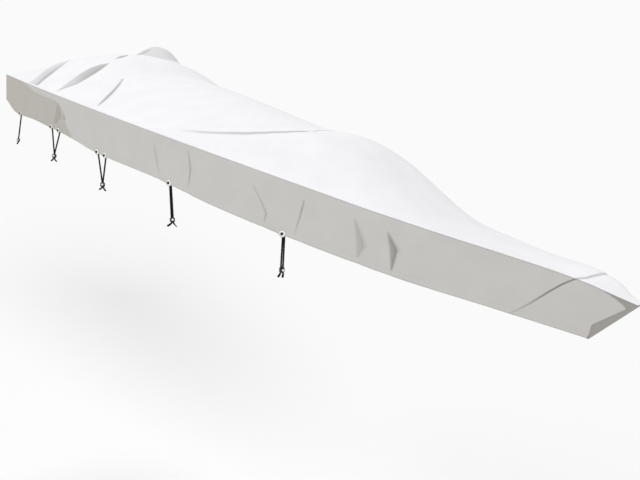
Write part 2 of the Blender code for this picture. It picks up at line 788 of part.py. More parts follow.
# ---- the whole cover ----------------------------------------------------
make_top()
make_transom_skirt()
make_bow_band()
for side_sign, side_letter, side_name in ((-1, "s", "starboard"), (1, "p", "port")):
    side_skirt = make_side_skirt("skirt_" + side_name, side_sign)
    cut_holes(side_skirt, make_eyelets(side_sign, side_letter))
    for tie in TIES:
        make_tie(side_sign, side_letter, tie)
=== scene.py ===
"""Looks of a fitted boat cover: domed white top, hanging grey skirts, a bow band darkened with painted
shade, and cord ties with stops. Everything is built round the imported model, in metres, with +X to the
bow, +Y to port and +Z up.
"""
import math

import bpy
import numpy as np
from mathutils import Matrix, Vector


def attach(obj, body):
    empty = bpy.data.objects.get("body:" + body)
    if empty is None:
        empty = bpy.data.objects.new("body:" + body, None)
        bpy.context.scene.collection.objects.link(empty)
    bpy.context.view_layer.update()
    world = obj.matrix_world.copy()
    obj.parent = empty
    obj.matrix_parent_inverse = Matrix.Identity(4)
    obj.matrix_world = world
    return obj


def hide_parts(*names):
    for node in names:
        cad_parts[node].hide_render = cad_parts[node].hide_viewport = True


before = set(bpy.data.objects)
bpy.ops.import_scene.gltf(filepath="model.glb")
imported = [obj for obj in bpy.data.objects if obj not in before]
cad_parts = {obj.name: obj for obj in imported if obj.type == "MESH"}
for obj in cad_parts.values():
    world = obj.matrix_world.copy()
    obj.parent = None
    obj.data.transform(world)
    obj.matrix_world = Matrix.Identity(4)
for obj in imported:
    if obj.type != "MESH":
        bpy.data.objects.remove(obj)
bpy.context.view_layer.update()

# ---- view, light and floor ----------------------------------------------
# A camera at eye height off the starboard bow, held a little tilted, a broad
# sun from high over the stern, two weaker ones along the starboard side, and
# a floor and sky of one pale tone.
EYE = Vector((2.9168, -2.8126, -0.0252))
HEADING = math.radians(51.18)
DIP = math.radians(11.17)
TILT = math.radians(15.0)
LENS = 31.5
FLOOR_Z = -3.4
FLOOR_SIZE = 160.0
FLOOR_TONE = (0.935, 0.935, 0.94)
SKY_STRENGTH = 0.45
SUNS = (
    # (name, direction towards it, strength, width in degrees)
    ("key_sun", (-0.55, 0.25, 0.80), 1.02, 22.0),
    ("side_sun", (-0.60, -0.65, 0.40), 0.75, 35.0),
    ("bow_sun", (0.72, -0.45, 0.56), 1.23, 35.0),
)

look = Vector((-math.cos(HEADING) * math.cos(DIP), math.sin(HEADING) * math.cos(DIP), -math.sin(DIP)))
level_right = look.cross(Vector((0.0, 0.0, 1.0))).normalized()
level_up = level_right.cross(look)
right = level_right * math.cos(TILT) + level_up * math.sin(TILT)
up_axis = level_up * math.cos(TILT) - level_right * math.sin(TILT)
camera_data = bpy.data.cameras.new("camera")
camera_data.lens = LENS
camera_data.sensor_width = 36.0
camera_data.clip_start = 0.05
camera_data.clip_end = 400.0
camera = bpy.data.objects.new("camera", camera_data)
bpy.context.scene.collection.objects.link(camera)
camera.matrix_world = Matrix.Translation(EYE) @ Matrix((right, up_axis, -look)).transposed().to_4x4()
bpy.context.scene.camera = camera
bpy.context.scene.view_settings.view_transform = "Standard"

floor_light = SKY_STRENGTH
for sun_name, towards, strength, width in SUNS:
    sun_data = bpy.data.lights.new(sun_name, "SUN")
    sun_data.energy = strength
    sun_data.angle = math.radians(width)
    sun = bpy.data.objects.new(sun_name, sun_data)
    bpy.context.scene.collection.objects.link(sun)
    sun.rotation_euler = Vector(towards).to_track_quat("Z", "Y").to_euler()
    floor_light += strength * Vector(towards).normalized().z / math.pi

world = bpy.data.worlds.new("studio")
world.use_nodes = True
bpy.context.scene.world = world
sky = world.node_tree.nodes["Background"]
sky.inputs["Color"].default_value = (1.0, 1.0, 1.0, 1.0)
sky.inputs["Strength"].default_value = SKY_STRENGTH
backdrop = world.node_tree.nodes.new("ShaderNodeBackground")
backdrop.inputs["Color"].default_value = (*FLOOR_TONE, 1.0)
backdrop.inputs["Strength"].default_value = floor_light
seen = world.node_tree.nodes.new("ShaderNodeLightPath")
either = world.node_tree.nodes.new("ShaderNodeMixShader")
world.node_tree.links.new(seen.outputs["Is Camera Ray"], either.inputs[0])
world.node_tree.links.new(sky.outputs[0], either.inputs[1])
world.node_tree.links.new(backdrop.outputs[0], either.inputs[2])
world.node_tree.links.new(either.outputs[0], world.node_tree.nodes["World Output"].inputs["Surface"])


def plain_material(name, colour, roughness):
    """Principled material with one colour and roughness, to be detailed further."""
    material = bpy.data.materials.new(name)
    material.use_nodes = True
    shader = material.node_tree.nodes["Principled BSDF"]
    shader.inputs["Base Color"].default_value = (*colour, 1.0)
    shader.inputs["Roughness"].default_value = roughness
    return material, shader


bpy.ops.mesh.primitive_plane_add(size=FLOOR_SIZE, location=(0.0, 0.0, FLOOR_Z))
floor = bpy.context.object
floor.name = "floor"
floor_material, floor_shader = plain_material("floor_tone", FLOOR_TONE, 1.0)
floor_shader.inputs["Specular IOR Level"].default_value = 0.0
floor.data.materials.append(floor_material)

# ---- ties ---------------------------------------------------------------
# Braided black cord of 10 mm, knotted in front of a white eyelet, led down
# behind the hem and through a black spring stop with a white button.  Two
# cords share a stop except at the stern; their ends are sealed with heat.
CORD_RADIUS = 0.0050
CORD_PAIR = 0.0053
CORD_STEP = 0.0022
CORD_SIDES = 24
KNOT_RADIUS = 0.0082
BRAID_PROUD = 0.05
BRAID_LAY = 330.0
KNOT_LUMPS = 0.09
KNOT_LAY = 380.0
END_CAPS = ((0.34, 0.15), (0.26, 0.62), (0.14, 0.90))
KNOT = ((0.0085, 0.62), (0.0070, 0.95), (0.0042, 1.00), (0.0024, 0.94))
KNOT_NECK = 0.0018
STOP_HALF_HEIGHT = 0.0125
STOP_SIDES = 48
SINGLE_STOP = (0.0062, 0.0115)
PAIR_STOP = (0.0118, 0.0150)
STOP_ENTRY = 0.012
STOP_EXIT = 0.006
ENTRY_SPREAD = 1.15
EXIT_SPREAD = 0.0030
END_SAG = 0.002
TURN_RADIUS = 0.009
BEHIND = 0.0040
BUTTON_TURN = math.radians(50.0)
BUTTON_SEAT = math.cos(math.pi / 10)
BUTTON_SIDES = 40
COLLAR_SIDES = 36
BUTTON_PROFILE = (
    # (radius, height over the seat)
    (0.0, 0.0038), (0.0022, 0.0037), (0.0026, 0.0045), (0.0048, 0.0044), (0.0062, 0.0032),
    (0.0064, 0.0), (0.0, 0.0),
)
COLLAR_PROFILE = (
    # (radius, height over the seat)
    (0.0, -0.0004), (0.0066, -0.0004), (0.0067, 0.0020), (0.0078, 0.0026), (0.0094, 0.0018),
    (0.0101, -0.0035), (0.0094, -0.0070),
)
TIES = (
    # (name, eyelets, cords, stop drop, stop shift, aft out, down and size,
    #  fore out, down and size)
    ("1", ("1",), 1, 0.213, 0.022, 0.026, 0.036, 1.00, 0.0, 0.0, 0.0),
    ("2", ("2a", "2b"), 2, 0.191, 0.041, 0.040, 0.044, 1.10, 0.046, 0.030, 0.95),
    ("3", ("3a", "3b"), 2, 0.190, 0.066, 0.028, 0.038, 1.10, 0.042, 0.029, 0.95),
    ("4", ("4",), 2, 0.203, 0.078, 0.028, 0.046, 1.30, 0.042, 0.028, 0.65),
    ("5", ("5",), 2, 0.190, 0.045, 0.012, 0.044, 1.25, 0.014, 0.038, 1.25),
)


def smooth(low, high, value):
    """Smoothstep from 0 at low to 1 at high."""
    share = np.clip((np.asarray(value, float) - low) / (high - low), 0.0, 1.0)
    return share * share * (3.0 - 2.0 * share)


def unit(vectors):
    """Vectors over the last axis brought to length 1."""
    return vectors / np.linalg.norm(vectors, axis=-1, keepdims=True)


def lattice_piece(name, points, uv, looks, flip=False, round_rows=False, marks=None):
    """Object over a lattice of points, columns by rows, smooth shaded.

    uv holds metres along and across the cloth and needs one row more than the
    points where the rows close round.  marks are values for each point.
    """
    columns, rows = points.shape[:2]
    index = np.arange(columns * rows).reshape(columns, rows)
    if round_rows:
        index = np.concatenate((index, index[:, :1]), axis=1)
    corners = (np.s_[:-1, :-1], np.s_[1:, :-1], np.s_[1:, 1:], np.s_[:-1, 1:])
    corners = corners[::-1] if flip else corners
    quads = np.stack([index[part] for part in corners], axis=-1).reshape(-1, 4)
    mesh = bpy.data.meshes.new(name)
    mesh.from_pydata(points.reshape(-1, 3).tolist(), [], quads.tolist())
    mesh.polygons.foreach_set("use_smooth", np.ones(len(quads), bool))
    placed = np.stack([uv[part] for part in corners], axis=2).reshape(-1, 2)
    mesh.uv_layers.new(name="cloth").data.foreach_set("uv", placed.astype(np.float32).ravel())
    for mark, value in (marks or {}).items():
        layer = mesh.attributes.new(mark, "FLOAT", "POINT")
        layer.data.foreach_set("value", np.asarray(value, np.float32).ravel())
    piece = bpy.data.objects.new(name, mesh)
    bpy.context.scene.collection.objects.link(piece)
    mesh.materials.append(looks)
    return piece


def fitted(piece, node=None):
    """Lets a finished piece ride the cover and stand for its CAD node."""
    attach(piece, "root")
    if node:
        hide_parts(node)
    return piece


def turned_points(profile, centre, axis, along, sides):
    """Profile of (radius, height) rows turned about an axis, rows by sides:
    centre + axis h + r (cos a, sin a)."""
    radius, height = np.array(profile, float).T
    angle = np.linspace(0.0, 2 * math.pi, sides, endpoint=False)
    first = unit(along - np.dot(along, axis) * axis)
    second = np.cross(axis, first)
    ring = np.cos(angle)[:, None] * first + np.sin(angle)[:, None] * second
    return centre + height[:, None, None] * axis + radius[:, None, None] * ring[None]


def turned_uv(profile, sides):
    """Metres along the profile and round the piece, for its finish."""
    table = np.array(profile, float)
    run = np.concatenate(([0.0], np.cumsum(np.linalg.norm(np.diff(table, axis=0), axis=1))))
    girth = np.linspace(0.0, 2 * math.pi * table[:, 0].max(), sides + 1)
    return np.stack(np.broadcast_arrays(run[:, None], girth[None, :]), axis=-1)


def rounded(profile, cut, steps=5):
    """Profile with each inner corner cut back by up to cut and bent smoothly:
    p(t) = (1-t)^2 a + 2t(1-t) b + t^2 c."""
    table = np.array(profile, float)
    before, corner, after = table[:-2], table[1:-1], table[2:]
    back = np.linalg.norm(before - corner, axis=1, keepdims=True)
    ahead = np.linalg.norm(after - corner, axis=1, keepdims=True)
    first = corner + (before - corner) * np.minimum(cut / back, 0.45)
    last = corner + (after - corner) * np.minimum(cut / ahead, 0.45)
    t = np.linspace(0.0, 1.0, steps)[None, :, None]
    bends = (1 - t) ** 2 * first[:, None] + 2 * t * (1 - t) * corner[:, None] + t ** 2 * last[:, None]
    return np.concatenate((table[:1], bends.reshape(-1, 2), table[-1:]))


def node_frame(name, flat):
    """Middle of a turned CAD piece and its axis: the direction in which its
    points spread least, for a flat ring, with the middle of their reach."""
    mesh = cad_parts[name].data
    points = np.empty(len(mesh.vertices) * 3)
    mesh.vertices.foreach_get("co", points)
    points = np.unique(np.round(points.reshape(-1, 3), 7), axis=0)
    middle = points.mean(axis=0)
    axes = np.linalg.svd(points - middle, full_matrices=False)[2]
    axis = axes[2] if flat else axes[0]
    reach = (points - middle) @ axis
    return middle + axis * (reach.max() + reach.min()) / 2, axis


def detailed(name, colour, roughness, specular=0.5):
    """Plain material with its specular level set, to be varied further: returns the material, its nodes,
    its links and its shader."""
    material, shader = plain_material(name, colour, roughness)
    shader.inputs["Specular IOR Level"].default_value = specular
    return material, material.node_tree.nodes, material.node_tree.links, shader


def mottled(nodes, links, shader, colour, scale, low, high):
    """Multiplies a colour by noise between low and high of the given scale."""
    place = nodes.new("ShaderNodeTexCoord")
    noise = nodes.new("ShaderNodeTexNoise")
    noise.inputs["Scale"].default_value = scale
    noise.inputs["Detail"].default_value = 5.0
    noise.inputs["Roughness"].default_value = 0.55
    spread = nodes.new("ShaderNodeMapRange")
    spread.inputs["From Min"].default_value = 0.32
    spread.inputs["From Max"].default_value = 0.68
    spread.inputs["To Min"].default_value = low
    spread.inputs["To Max"].default_value = high
    tint = nodes.new("ShaderNodeVectorMath")
    tint.operation = "SCALE"
    tint.inputs[0].default_value = colour
    links.new(place.outputs["Object"], noise.inputs["Vector"])
    links.new(noise.outputs["Fac"], spread.inputs["Value"])
    links.new(spread.outputs["Result"], tint.inputs["Scale"])
    links.new(tint.outputs["Vector"], shader.inputs["Base Color"])
    return noise


def bumped(nodes, links, shader, height, strength, distance):
    """Feeds a height socket to the shader as a bump."""
    bump = nodes.new("ShaderNodeBump")
    bump.inputs["Strength"].default_value = strength
    bump.inputs["Distance"].default_value = distance
    links.new(height, bump.inputs["Height"])
    links.new(bump.outputs["Normal"], shader.inputs["Normal"])


def cord_material():
    """Black polyester braid: dark strands with paler specks and worn fuzz."""
    colour = (0.006, 0.006, 0.0065)
    material, nodes, links, shader = detailed("cord", colour, 0.85, 0.15)
    mottled(nodes, links, shader, colour, 900.0, 0.5, 1.9)
    shader.inputs["Sheen Weight"].default_value = 0.03
    wave = nodes.new("ShaderNodeTexWave")
    wave.inputs["Scale"].default_value = 95.0
    wave.inputs["Distortion"].default_value = 1.5
    place = nodes.new("ShaderNodeTexCoord")
    links.new(place.outputs["UV"], wave.inputs["Vector"])
    bumped(nodes, links, shader, wave.outputs["Fac"], 0.35, 0.0004)
    return material


def stop_material():
    """Moulded black plastic: satin, with a fine grain and dusty patches."""
    colour = (0.013, 0.013, 0.014)
    material, nodes, links, shader = detailed("stop", colour, 0.42, 0.45)
    noise = mottled(nodes, links, shader, colour, 420.0, 0.7, 1.7)
    bumped(nodes, links, shader, noise.outputs["Fac"], 0.15, 0.0003)
    return material


def pale_material(name, colour, roughness):
    """White plastic or enamel, faintly yellowed in cloudy patches."""
    material, nodes, links, shader = detailed(name, colour, roughness, 0.5)
    noise = mottled(nodes, links, shader, colour, 160.0, 0.90, 1.03)
    bumped(nodes, links, shader, noise.outputs["Fac"], 0.06, 0.0003)
    return material


CORD_LOOKS = cord_material()
STOP_LOOKS = stop_material()
BUTTON_LOOKS = pale_material("button", (0.90, 0.89, 0.86), 0.38)
EYELET_LOOKS = pale_material("eyelet", (0.90, 0.89, 0.86), 0.34)
EYELET_SIDES = 56
EYELET_BACK = 0.00017
EYELET_FACE = 0.001
EYELET_PROFILE = (
    # (radius, height above the middle of the cloth), round its section
    (0.0170, -0.0006), (0.0168, 0.0016), (0.0152, 0.0028), (0.0112, 0.0031), (0.0080, 0.0027),
    (0.0067, 0.0017), (0.0063, 0.0000), (0.0067, -0.0018), (0.0080, -0.0026), (0.0125, -0.0027),
    (0.0168, -0.0018), (0.0170, -0.0006),
)


def smooth_route(stops):
    """Catmull-Rom curve through (point, radius) stops at every CORD_STEP:
    0.5 (2b + (c-a) t + (2a-5b+4c-d) t^2 + (3b-a-3c+d) t^3)."""
    points = np.array([point for point, _radius in stops])
    radii = np.array([radius for _point, radius in stops])
    padded = np.concatenate((points[:1], points, points[-1:]))
    legs, sizes = [], []
    for leg in range(len(points) - 1):
        before, first, second, after = padded[leg:leg + 4]
        parts = max(1, round(float(np.linalg.norm(second - first)) / CORD_STEP))
        t = (np.arange(parts) / parts)[:, None]
        legs.append(0.5 * ((2 * first) + (second - before) * t
                           + (2 * before - 5 * first + 4 * second - after) * t ** 2
                           + (3 * first - before - 3 * second + after) * t ** 3))
        sizes.append(radii[leg] + (radii[leg + 1] - radii[leg]) * t[:, 0])
    line = np.concatenate(legs + [points[-1:]])
    return line, np.concatenate(sizes + [radii[-1:]])


def make_cord(name, stops, along):
    """Braided tube through its stops, its strands standing proud.

    The radius is r (1 + p cos(4a + ks) cos(4a - ks)), closed by small rings
    at both ends, and lumpier where the cord is knotted or sealed.
    """
    line, radii = smooth_route(stops)
    tangent = unit(np.gradient(line, axis=0))
    beyond, caps = np.array(END_CAPS).T
    count = len(caps)
    line = np.concatenate((line[:1].repeat(count, 0), line, line[-1:].repeat(count, 0)))
    line[:count] -= tangent[0] * CORD_RADIUS * beyond[:, None]
    line[-count:] += tangent[-1] * CORD_RADIUS * beyond[::-1, None]
    tangent = np.concatenate((tangent[:1].repeat(count, 0), tangent, tangent[-1:].repeat(count, 0)))
    radii = np.concatenate((radii[0] * caps, radii, radii[-1] * caps[::-1]))
    run = np.concatenate(([0.0], np.cumsum(np.linalg.norm(np.diff(line, axis=0), axis=1))))
    first = unit(along - (tangent @ along)[:, None] * tangent)
    second = np.cross(tangent, first)
    angle = np.linspace(0.0, 2 * math.pi, CORD_SIDES, endpoint=False)
    lay = run[:, None] * BRAID_LAY
    swollen = smooth(1.15, 1.6, radii / CORD_RADIUS)[:, None]
    braid = BRAID_PROUD * np.cos(4 * angle + lay) * np.cos(4 * angle - lay) * (1 - 0.8 * swollen)
    lumps = swollen * KNOT_LUMPS * (np.cos(2 * angle + run[:, None] * KNOT_LAY) - 1)
    size = radii[:, None] * (1 + braid + lumps)
    ring = np.cos(angle)[None, :, None] * first[:, None] + np.sin(angle)[None, :, None] * second[:, None]
    points = line[:, None] + size[:, :, None] * ring
    girth = np.linspace(0.0, 2 * math.pi * CORD_RADIUS, CORD_SIDES + 1)
    uv = np.stack(np.broadcast_arrays(run[:, None], girth[None, :]), axis=-1)
    cord = lattice_piece("braid_" + name, points, uv, CORD_LOOKS, round_rows=True)
    return fitted(cord, "cord_" + name), line, float(run[-1])


def make_eyelet(name):
    """Domed two-part eyelet on the CAD one's place; returns its middle and axis."""
    middle, axis = node_frame("eyelet_" + name, True)
    axis = axis * np.sign(axis[1]) * (-1.0 if name[0] == "s" else 1.0)
    middle = middle - axis * EYELET_BACK
    profile = rounded(EYELET_PROFILE, 0.0009)
    points = turned_points(profile, middle, axis, np.array([1.0, 0.0, 0.0]), EYELET_SIDES)
    eyelet = lattice_piece("ring_" + name, points, turned_uv(profile, EYELET_SIDES), EYELET_LOOKS,
                           flip=True, round_rows=True)
    fitted(eyelet, "eyelet_" + name)
    return middle + axis * EYELET_FACE, axis


def knotted_start(centre, outward, up):
    """Stops from the knot, through the eyelet and round behind the skirt."""
    level = unit(outward - np.dot(outward, up) * up)
    stops = [(centre + outward * reach, KNOT_RADIUS * size) for reach, size in KNOT]
    stops.append((centre + outward * KNOT_NECK, CORD_RADIUS))
    for angle in (0.0, math.pi / 4, math.pi / 2):
        inward = BEHIND + TURN_RADIUS * math.sin(angle)
        down = TURN_RADIUS * (1 - math.cos(angle))
        stops.append((centre - level * inward - up * down, CORD_RADIUS))
    return stops


def stop_profile(hole, radius):
    """Barrel with a rounded mouth, a grip of ribs and a groove at each end."""
    half = STOP_HALF_HEIGHT
    rim = hole + 0.62 * (radius - hole)
    rib_height = np.linspace(0.40, -0.40, 9) * half
    rib_radius = radius * (1 - 0.045 * (np.arange(9) % 2))
    ribs = tuple(zip(rib_radius, rib_height))
    return ((hole, 0.0), (hole, 0.90 * half), (hole + 0.0006, half), (rim, half),
            (radius * 0.965, 0.62 * half), (radius, 0.50 * half), *ribs, (radius, -0.50 * half),
            (radius * 0.965, -0.62 * half), (rim, -half), (hole + 0.0006, -half),
            (hole, -0.90 * half), (hole, 0.0))


def make_stop(name, place, fall, forward, outward, single):
    """Barrel, the collar round its button and the button, which faces outward
    and towards the bow."""
    hole, radius = SINGLE_STOP if single else PAIR_STOP
    seat = place + outward * (radius * BUTTON_SEAT + 0.0004)
    barrel = rounded(stop_profile(hole, radius), 0.0005, 4)
    collar = rounded(COLLAR_PROFILE, 0.0004, 4)
    button = rounded(BUTTON_PROFILE, 0.0006)
    body = lattice_piece("barrel_" + name, turned_points(barrel, place, fall, forward, STOP_SIDES),
                         turned_uv(barrel, STOP_SIDES), STOP_LOOKS, round_rows=True)
    ring = lattice_piece("collar_" + name, turned_points(collar, seat, outward, fall, COLLAR_SIDES),
                         turned_uv(collar, COLLAR_SIDES), STOP_LOOKS, flip=True, round_rows=True)
    cap = lattice_piece("cap_" + name, turned_points(button, seat, outward, fall, BUTTON_SIDES),
                        turned_uv(button, BUTTON_SIDES), BUTTON_LOOKS, flip=True, round_rows=True)
    return [fitted(body, "stop_" + name), fitted(ring),
            fitted(cap, "button_" + name)]


def make_tie(side, letter, row):
    """Eyelets, cords, stop and button of one tie."""
    name, eyelets, cords, drop, lead, aft_out, aft_down, aft_size, fore_out, fore_down, fore_size = row
    up = np.array([0.0, 0.0, 1.0])
    frames = [make_eyelet(letter + eyelet) for eyelet in eyelets]
    middle = np.mean([centre for centre, _axis in frames], axis=0)
    outward = np.sum([axis for _centre, axis in frames], axis=0)
    outward = unit(outward * np.array([1.0, 1.0, 0.0]))
    forward = np.cross(up, outward) * -side
    single = cords == 1
    stop = middle - up * drop + forward * lead - outward * (BEHIND + TURN_RADIUS)
    fall = unit(forward * lead - up * drop)
    beside = unit(forward - np.dot(forward, fall) * fall)
    facing = outward * math.cos(BUTTON_TURN) + beside * math.sin(BUTTON_TURN)
    fittings = make_stop(letter + name, stop, fall, forward, facing, single)
    ends = ((-1.0, aft_out, aft_down, aft_size, "a"), (1.0, fore_out, fore_down, fore_size, "b"))
    for order, (way, out, down, size, tag) in enumerate(ends[:cords]):
        centre, normal = frames[order % len(frames)]
        if order < len(frames):
            stops = knotted_start(centre, normal, up)
        else:
            flat = centre - normal * (BEHIND + TURN_RADIUS) + forward * 2 * CORD_PAIR
            stops = [(flat, CORD_RADIUS), (flat - up * TURN_RADIUS, CORD_RADIUS)]
        offset = 0.0 if single else way * CORD_PAIR
        above = stop - fall * (STOP_HALF_HEIGHT + STOP_ENTRY) + beside * (offset * ENTRY_SPREAD)
        stops.append(((stops[-1][0] + above) / 2, CORD_RADIUS))
        stops.append((above, CORD_RADIUS))
        for reach in (-STOP_HALF_HEIGHT, STOP_HALF_HEIGHT):
            stops.append((stop + fall * reach + beside * offset, CORD_RADIUS))
        leave = stop + fall * (STOP_HALF_HEIGHT + STOP_EXIT) + beside * (offset + way * EXIT_SPREAD)
        stops.append((leave, CORD_RADIUS))
        tip = stop - up * down + forward * (way * out) - outward * END_SAG
        stops.append(((leave + tip) / 2 - up * END_SAG, CORD_RADIUS * size))
        stops.append((tip, CORD_RADIUS * size))
        label = letter + name + ("" if single else tag)
        cord, line, length = make_cord(label, stops, forward)


for tie in TIES:
    make_tie(-1.0, "s", tie)
    make_tie(1.0, "p", tie)

# ---- top panel ----------------------------------------------------------
# One panel of white coated cloth from transom to bow, stretched over the
# boat's coamings, screen and foredeck and rolled down over the skirts' upper
# edge.  Pleats run up from the starboard quarter, where it was drawn tight.
LENGTH = 5.0
HALF_BEAM = 0.985
HALF_TRANSOM = 0.875
HALF_NOSE = 0.030
NOSE_BULGE = 0.012
WIDEST_AT = 0.30
BOW_FULLNESS = 2.05
SHEER_DROP = 0.125
SHEER_POWER = 2.7
STEM_RAKE = 0.140
TRANSOM_RAKE = 0.042
SKIRT_INSET = 0.015
NOSE_INSET = 0.024
RIDGE = (
    # (x, height of the centreline above the gunwale)
    (0.00, 0.120), (0.06, 0.245), (0.15, 0.271), (0.30, 0.339), (0.50, 0.418), (0.85, 0.462),
    (1.15, 0.470), (1.50, 0.384), (1.86, 0.372), (2.20, 0.349), (2.60, 0.318), (2.95, 0.295),
    (3.25, 0.318), (3.45, 0.269), (3.70, 0.080), (3.95, 0.000), (5.10, 0.000),
)
FOREDECK = (
    # (x, crown of the deck above the gunwale)
    (3.60, 0.000), (3.95, 0.017), (4.30, 0.029), (4.55, 0.033), (4.80, 0.056), (4.89, 0.047),
    (4.96, 0.018), (5.00, 0.010), (5.10, 0.000),
)
GUNWALE_LIFT = (
    # (x, rise of the gunwale above its plain fall)
    (3.85, 0.0), (4.20, 0.0074), (4.45, 0.0162), (4.68, 0.0214), (4.80, 0.0190), (4.90, 0.0090),
    (5.00, 0.0),
)
SKIRT_DEPTH = (
    # (x, depth of the hem below the gunwale's plain fall)
    (0.00, 0.213), (0.45, 0.270), (0.95, 0.249), (1.45, 0.248), (1.98, 0.270), (2.48, 0.262),
    (3.00, 0.284), (3.50, 0.290), (4.05, 0.286), (4.60, 0.256), (5.02, 0.235),
)
SCREEN_X = 3.241
SCREEN_SWEEP = 0.861
SCREEN_CURVE = 3.2
SCREEN_WING = 0.90
SCREEN_HALF = 0.95
SCREEN_HEIGHT = 0.287
SCREEN_FRONT = 1.054
SCREEN_BACK = 0.42
HUMPS = (
    # (x, y, height, length radius, width radius)
    (0.455, 0.248, 0.195, 0.315, 0.213),
    (1.55, -0.30, -0.012, 0.30, 0.22),
)
EYELET_X = (0.533, 1.217, 1.351, 1.917, 2.009, 2.641, 3.471)
EYELET_ABOVE = 0.006
LOBE_DEPTH = 0.0135
LOBE_HALF = 0.032


def through(table, value):
    """Monotone cubic curve through a table's (place, height) rows."""
    place, height = np.array(table, float).T
    step = np.diff(place)
    slope = np.diff(height) / step
    left, right_slope = slope[:-1], slope[1:]
    same = left * right_slope > 0
    inner = np.zeros(len(place) - 2)
    inner[same] = 2 * left[same] * right_slope[same] / (left[same] + right_slope[same])
    tangent = np.concatenate(([slope[0]], inner, [slope[-1]]))
    value = np.clip(np.asarray(value, float), place[0], place[-1])
    cell = np.clip(np.searchsorted(place, value) - 1, 0, len(step) - 1)
    t = (value - place[cell]) / step[cell]
    rise = height[cell + 1] - height[cell]
    start = tangent[cell] * step[cell]
    finish = tangent[cell + 1] * step[cell]
    return (height[cell] + start * t + (3 * rise - 2 * start - finish) * t ** 2
            + (start + finish - 2 * rise) * t ** 3)


def half_breadth(x):
    """Half breadth of the gunwale: a parabola aft, a fuller power curve forward."""
    share = np.clip(np.asarray(x, float) / LENGTH, 0.0, 1.0)
    aft = HALF_BEAM - (HALF_BEAM - HALF_TRANSOM) * ((WIDEST_AT - share) / WIDEST_AT) ** 2
    forward = np.clip((share - WIDEST_AT) / (1 - WIDEST_AT), 0.0, 1.0)
    bow = HALF_NOSE + (HALF_BEAM - HALF_NOSE) * (1 - forward ** BOW_FULLNESS)
    return np.where(share < WIDEST_AT, aft, bow)


def gunwale_height(x):
    """Fall of the gunwale towards the bow, a power of the share of the length."""
    share = np.clip(np.asarray(x, float) / LENGTH, 0.0, 1.0)
    return through(GUNWALE_LIFT, x) - SHEER_DROP * share ** SHEER_POWER


def plan_point(x, across):
    """Plan place at a length x and a share across, -1 starboard to 1 port."""
    nose = NOSE_BULGE * (1 - across ** 2) * smooth(0.92 * LENGTH, LENGTH, x)
    return x + nose, half_breadth(x) * across


def blend_max(first, second, soft):
    """Larger of two heights, rounded over where they cross."""
    return 0.5 * (first + second + np.sqrt((first - second) ** 2 + soft ** 2) - soft)


def arch_height(x, across):
    """Height of the top without its folds: the tallest of the cockpit's arch,
    the swept crest over the screen and the crown of the deck, plus humps."""
    y = half_breadth(x) * across
    side = np.abs(across)
    arch = through(RIDGE, x) * (1 - side ** 2.15)
    crest = SCREEN_X - SCREEN_SWEEP * (np.abs(y) / SCREEN_WING) ** SCREEN_CURVE
    tall = SCREEN_HEIGHT * np.clip(1 - (np.abs(y) / SCREEN_HALF) ** 3, 0.0, 1.0)
    ahead = smooth(0.0, SCREEN_FRONT, x - crest)
    behind = smooth(0.0, SCREEN_BACK, crest - x)
    screen = tall * (1 - ahead) * (1 - behind) * (1 - side ** 7)
    deck = through(FOREDECK, x) * (1 - side ** 2.4)
    height = blend_max(blend_max(arch, screen, 0.020), deck, 0.012)
    for hump_x, hump_y, rise, long_r, wide_r in HUMPS:
        spread = ((x - hump_x) / long_r) ** 2 + ((y - hump_y) / wide_r) ** 2
        height = height + rise * np.exp(-spread ** 1.3) * (1 - side ** 6)
    return height


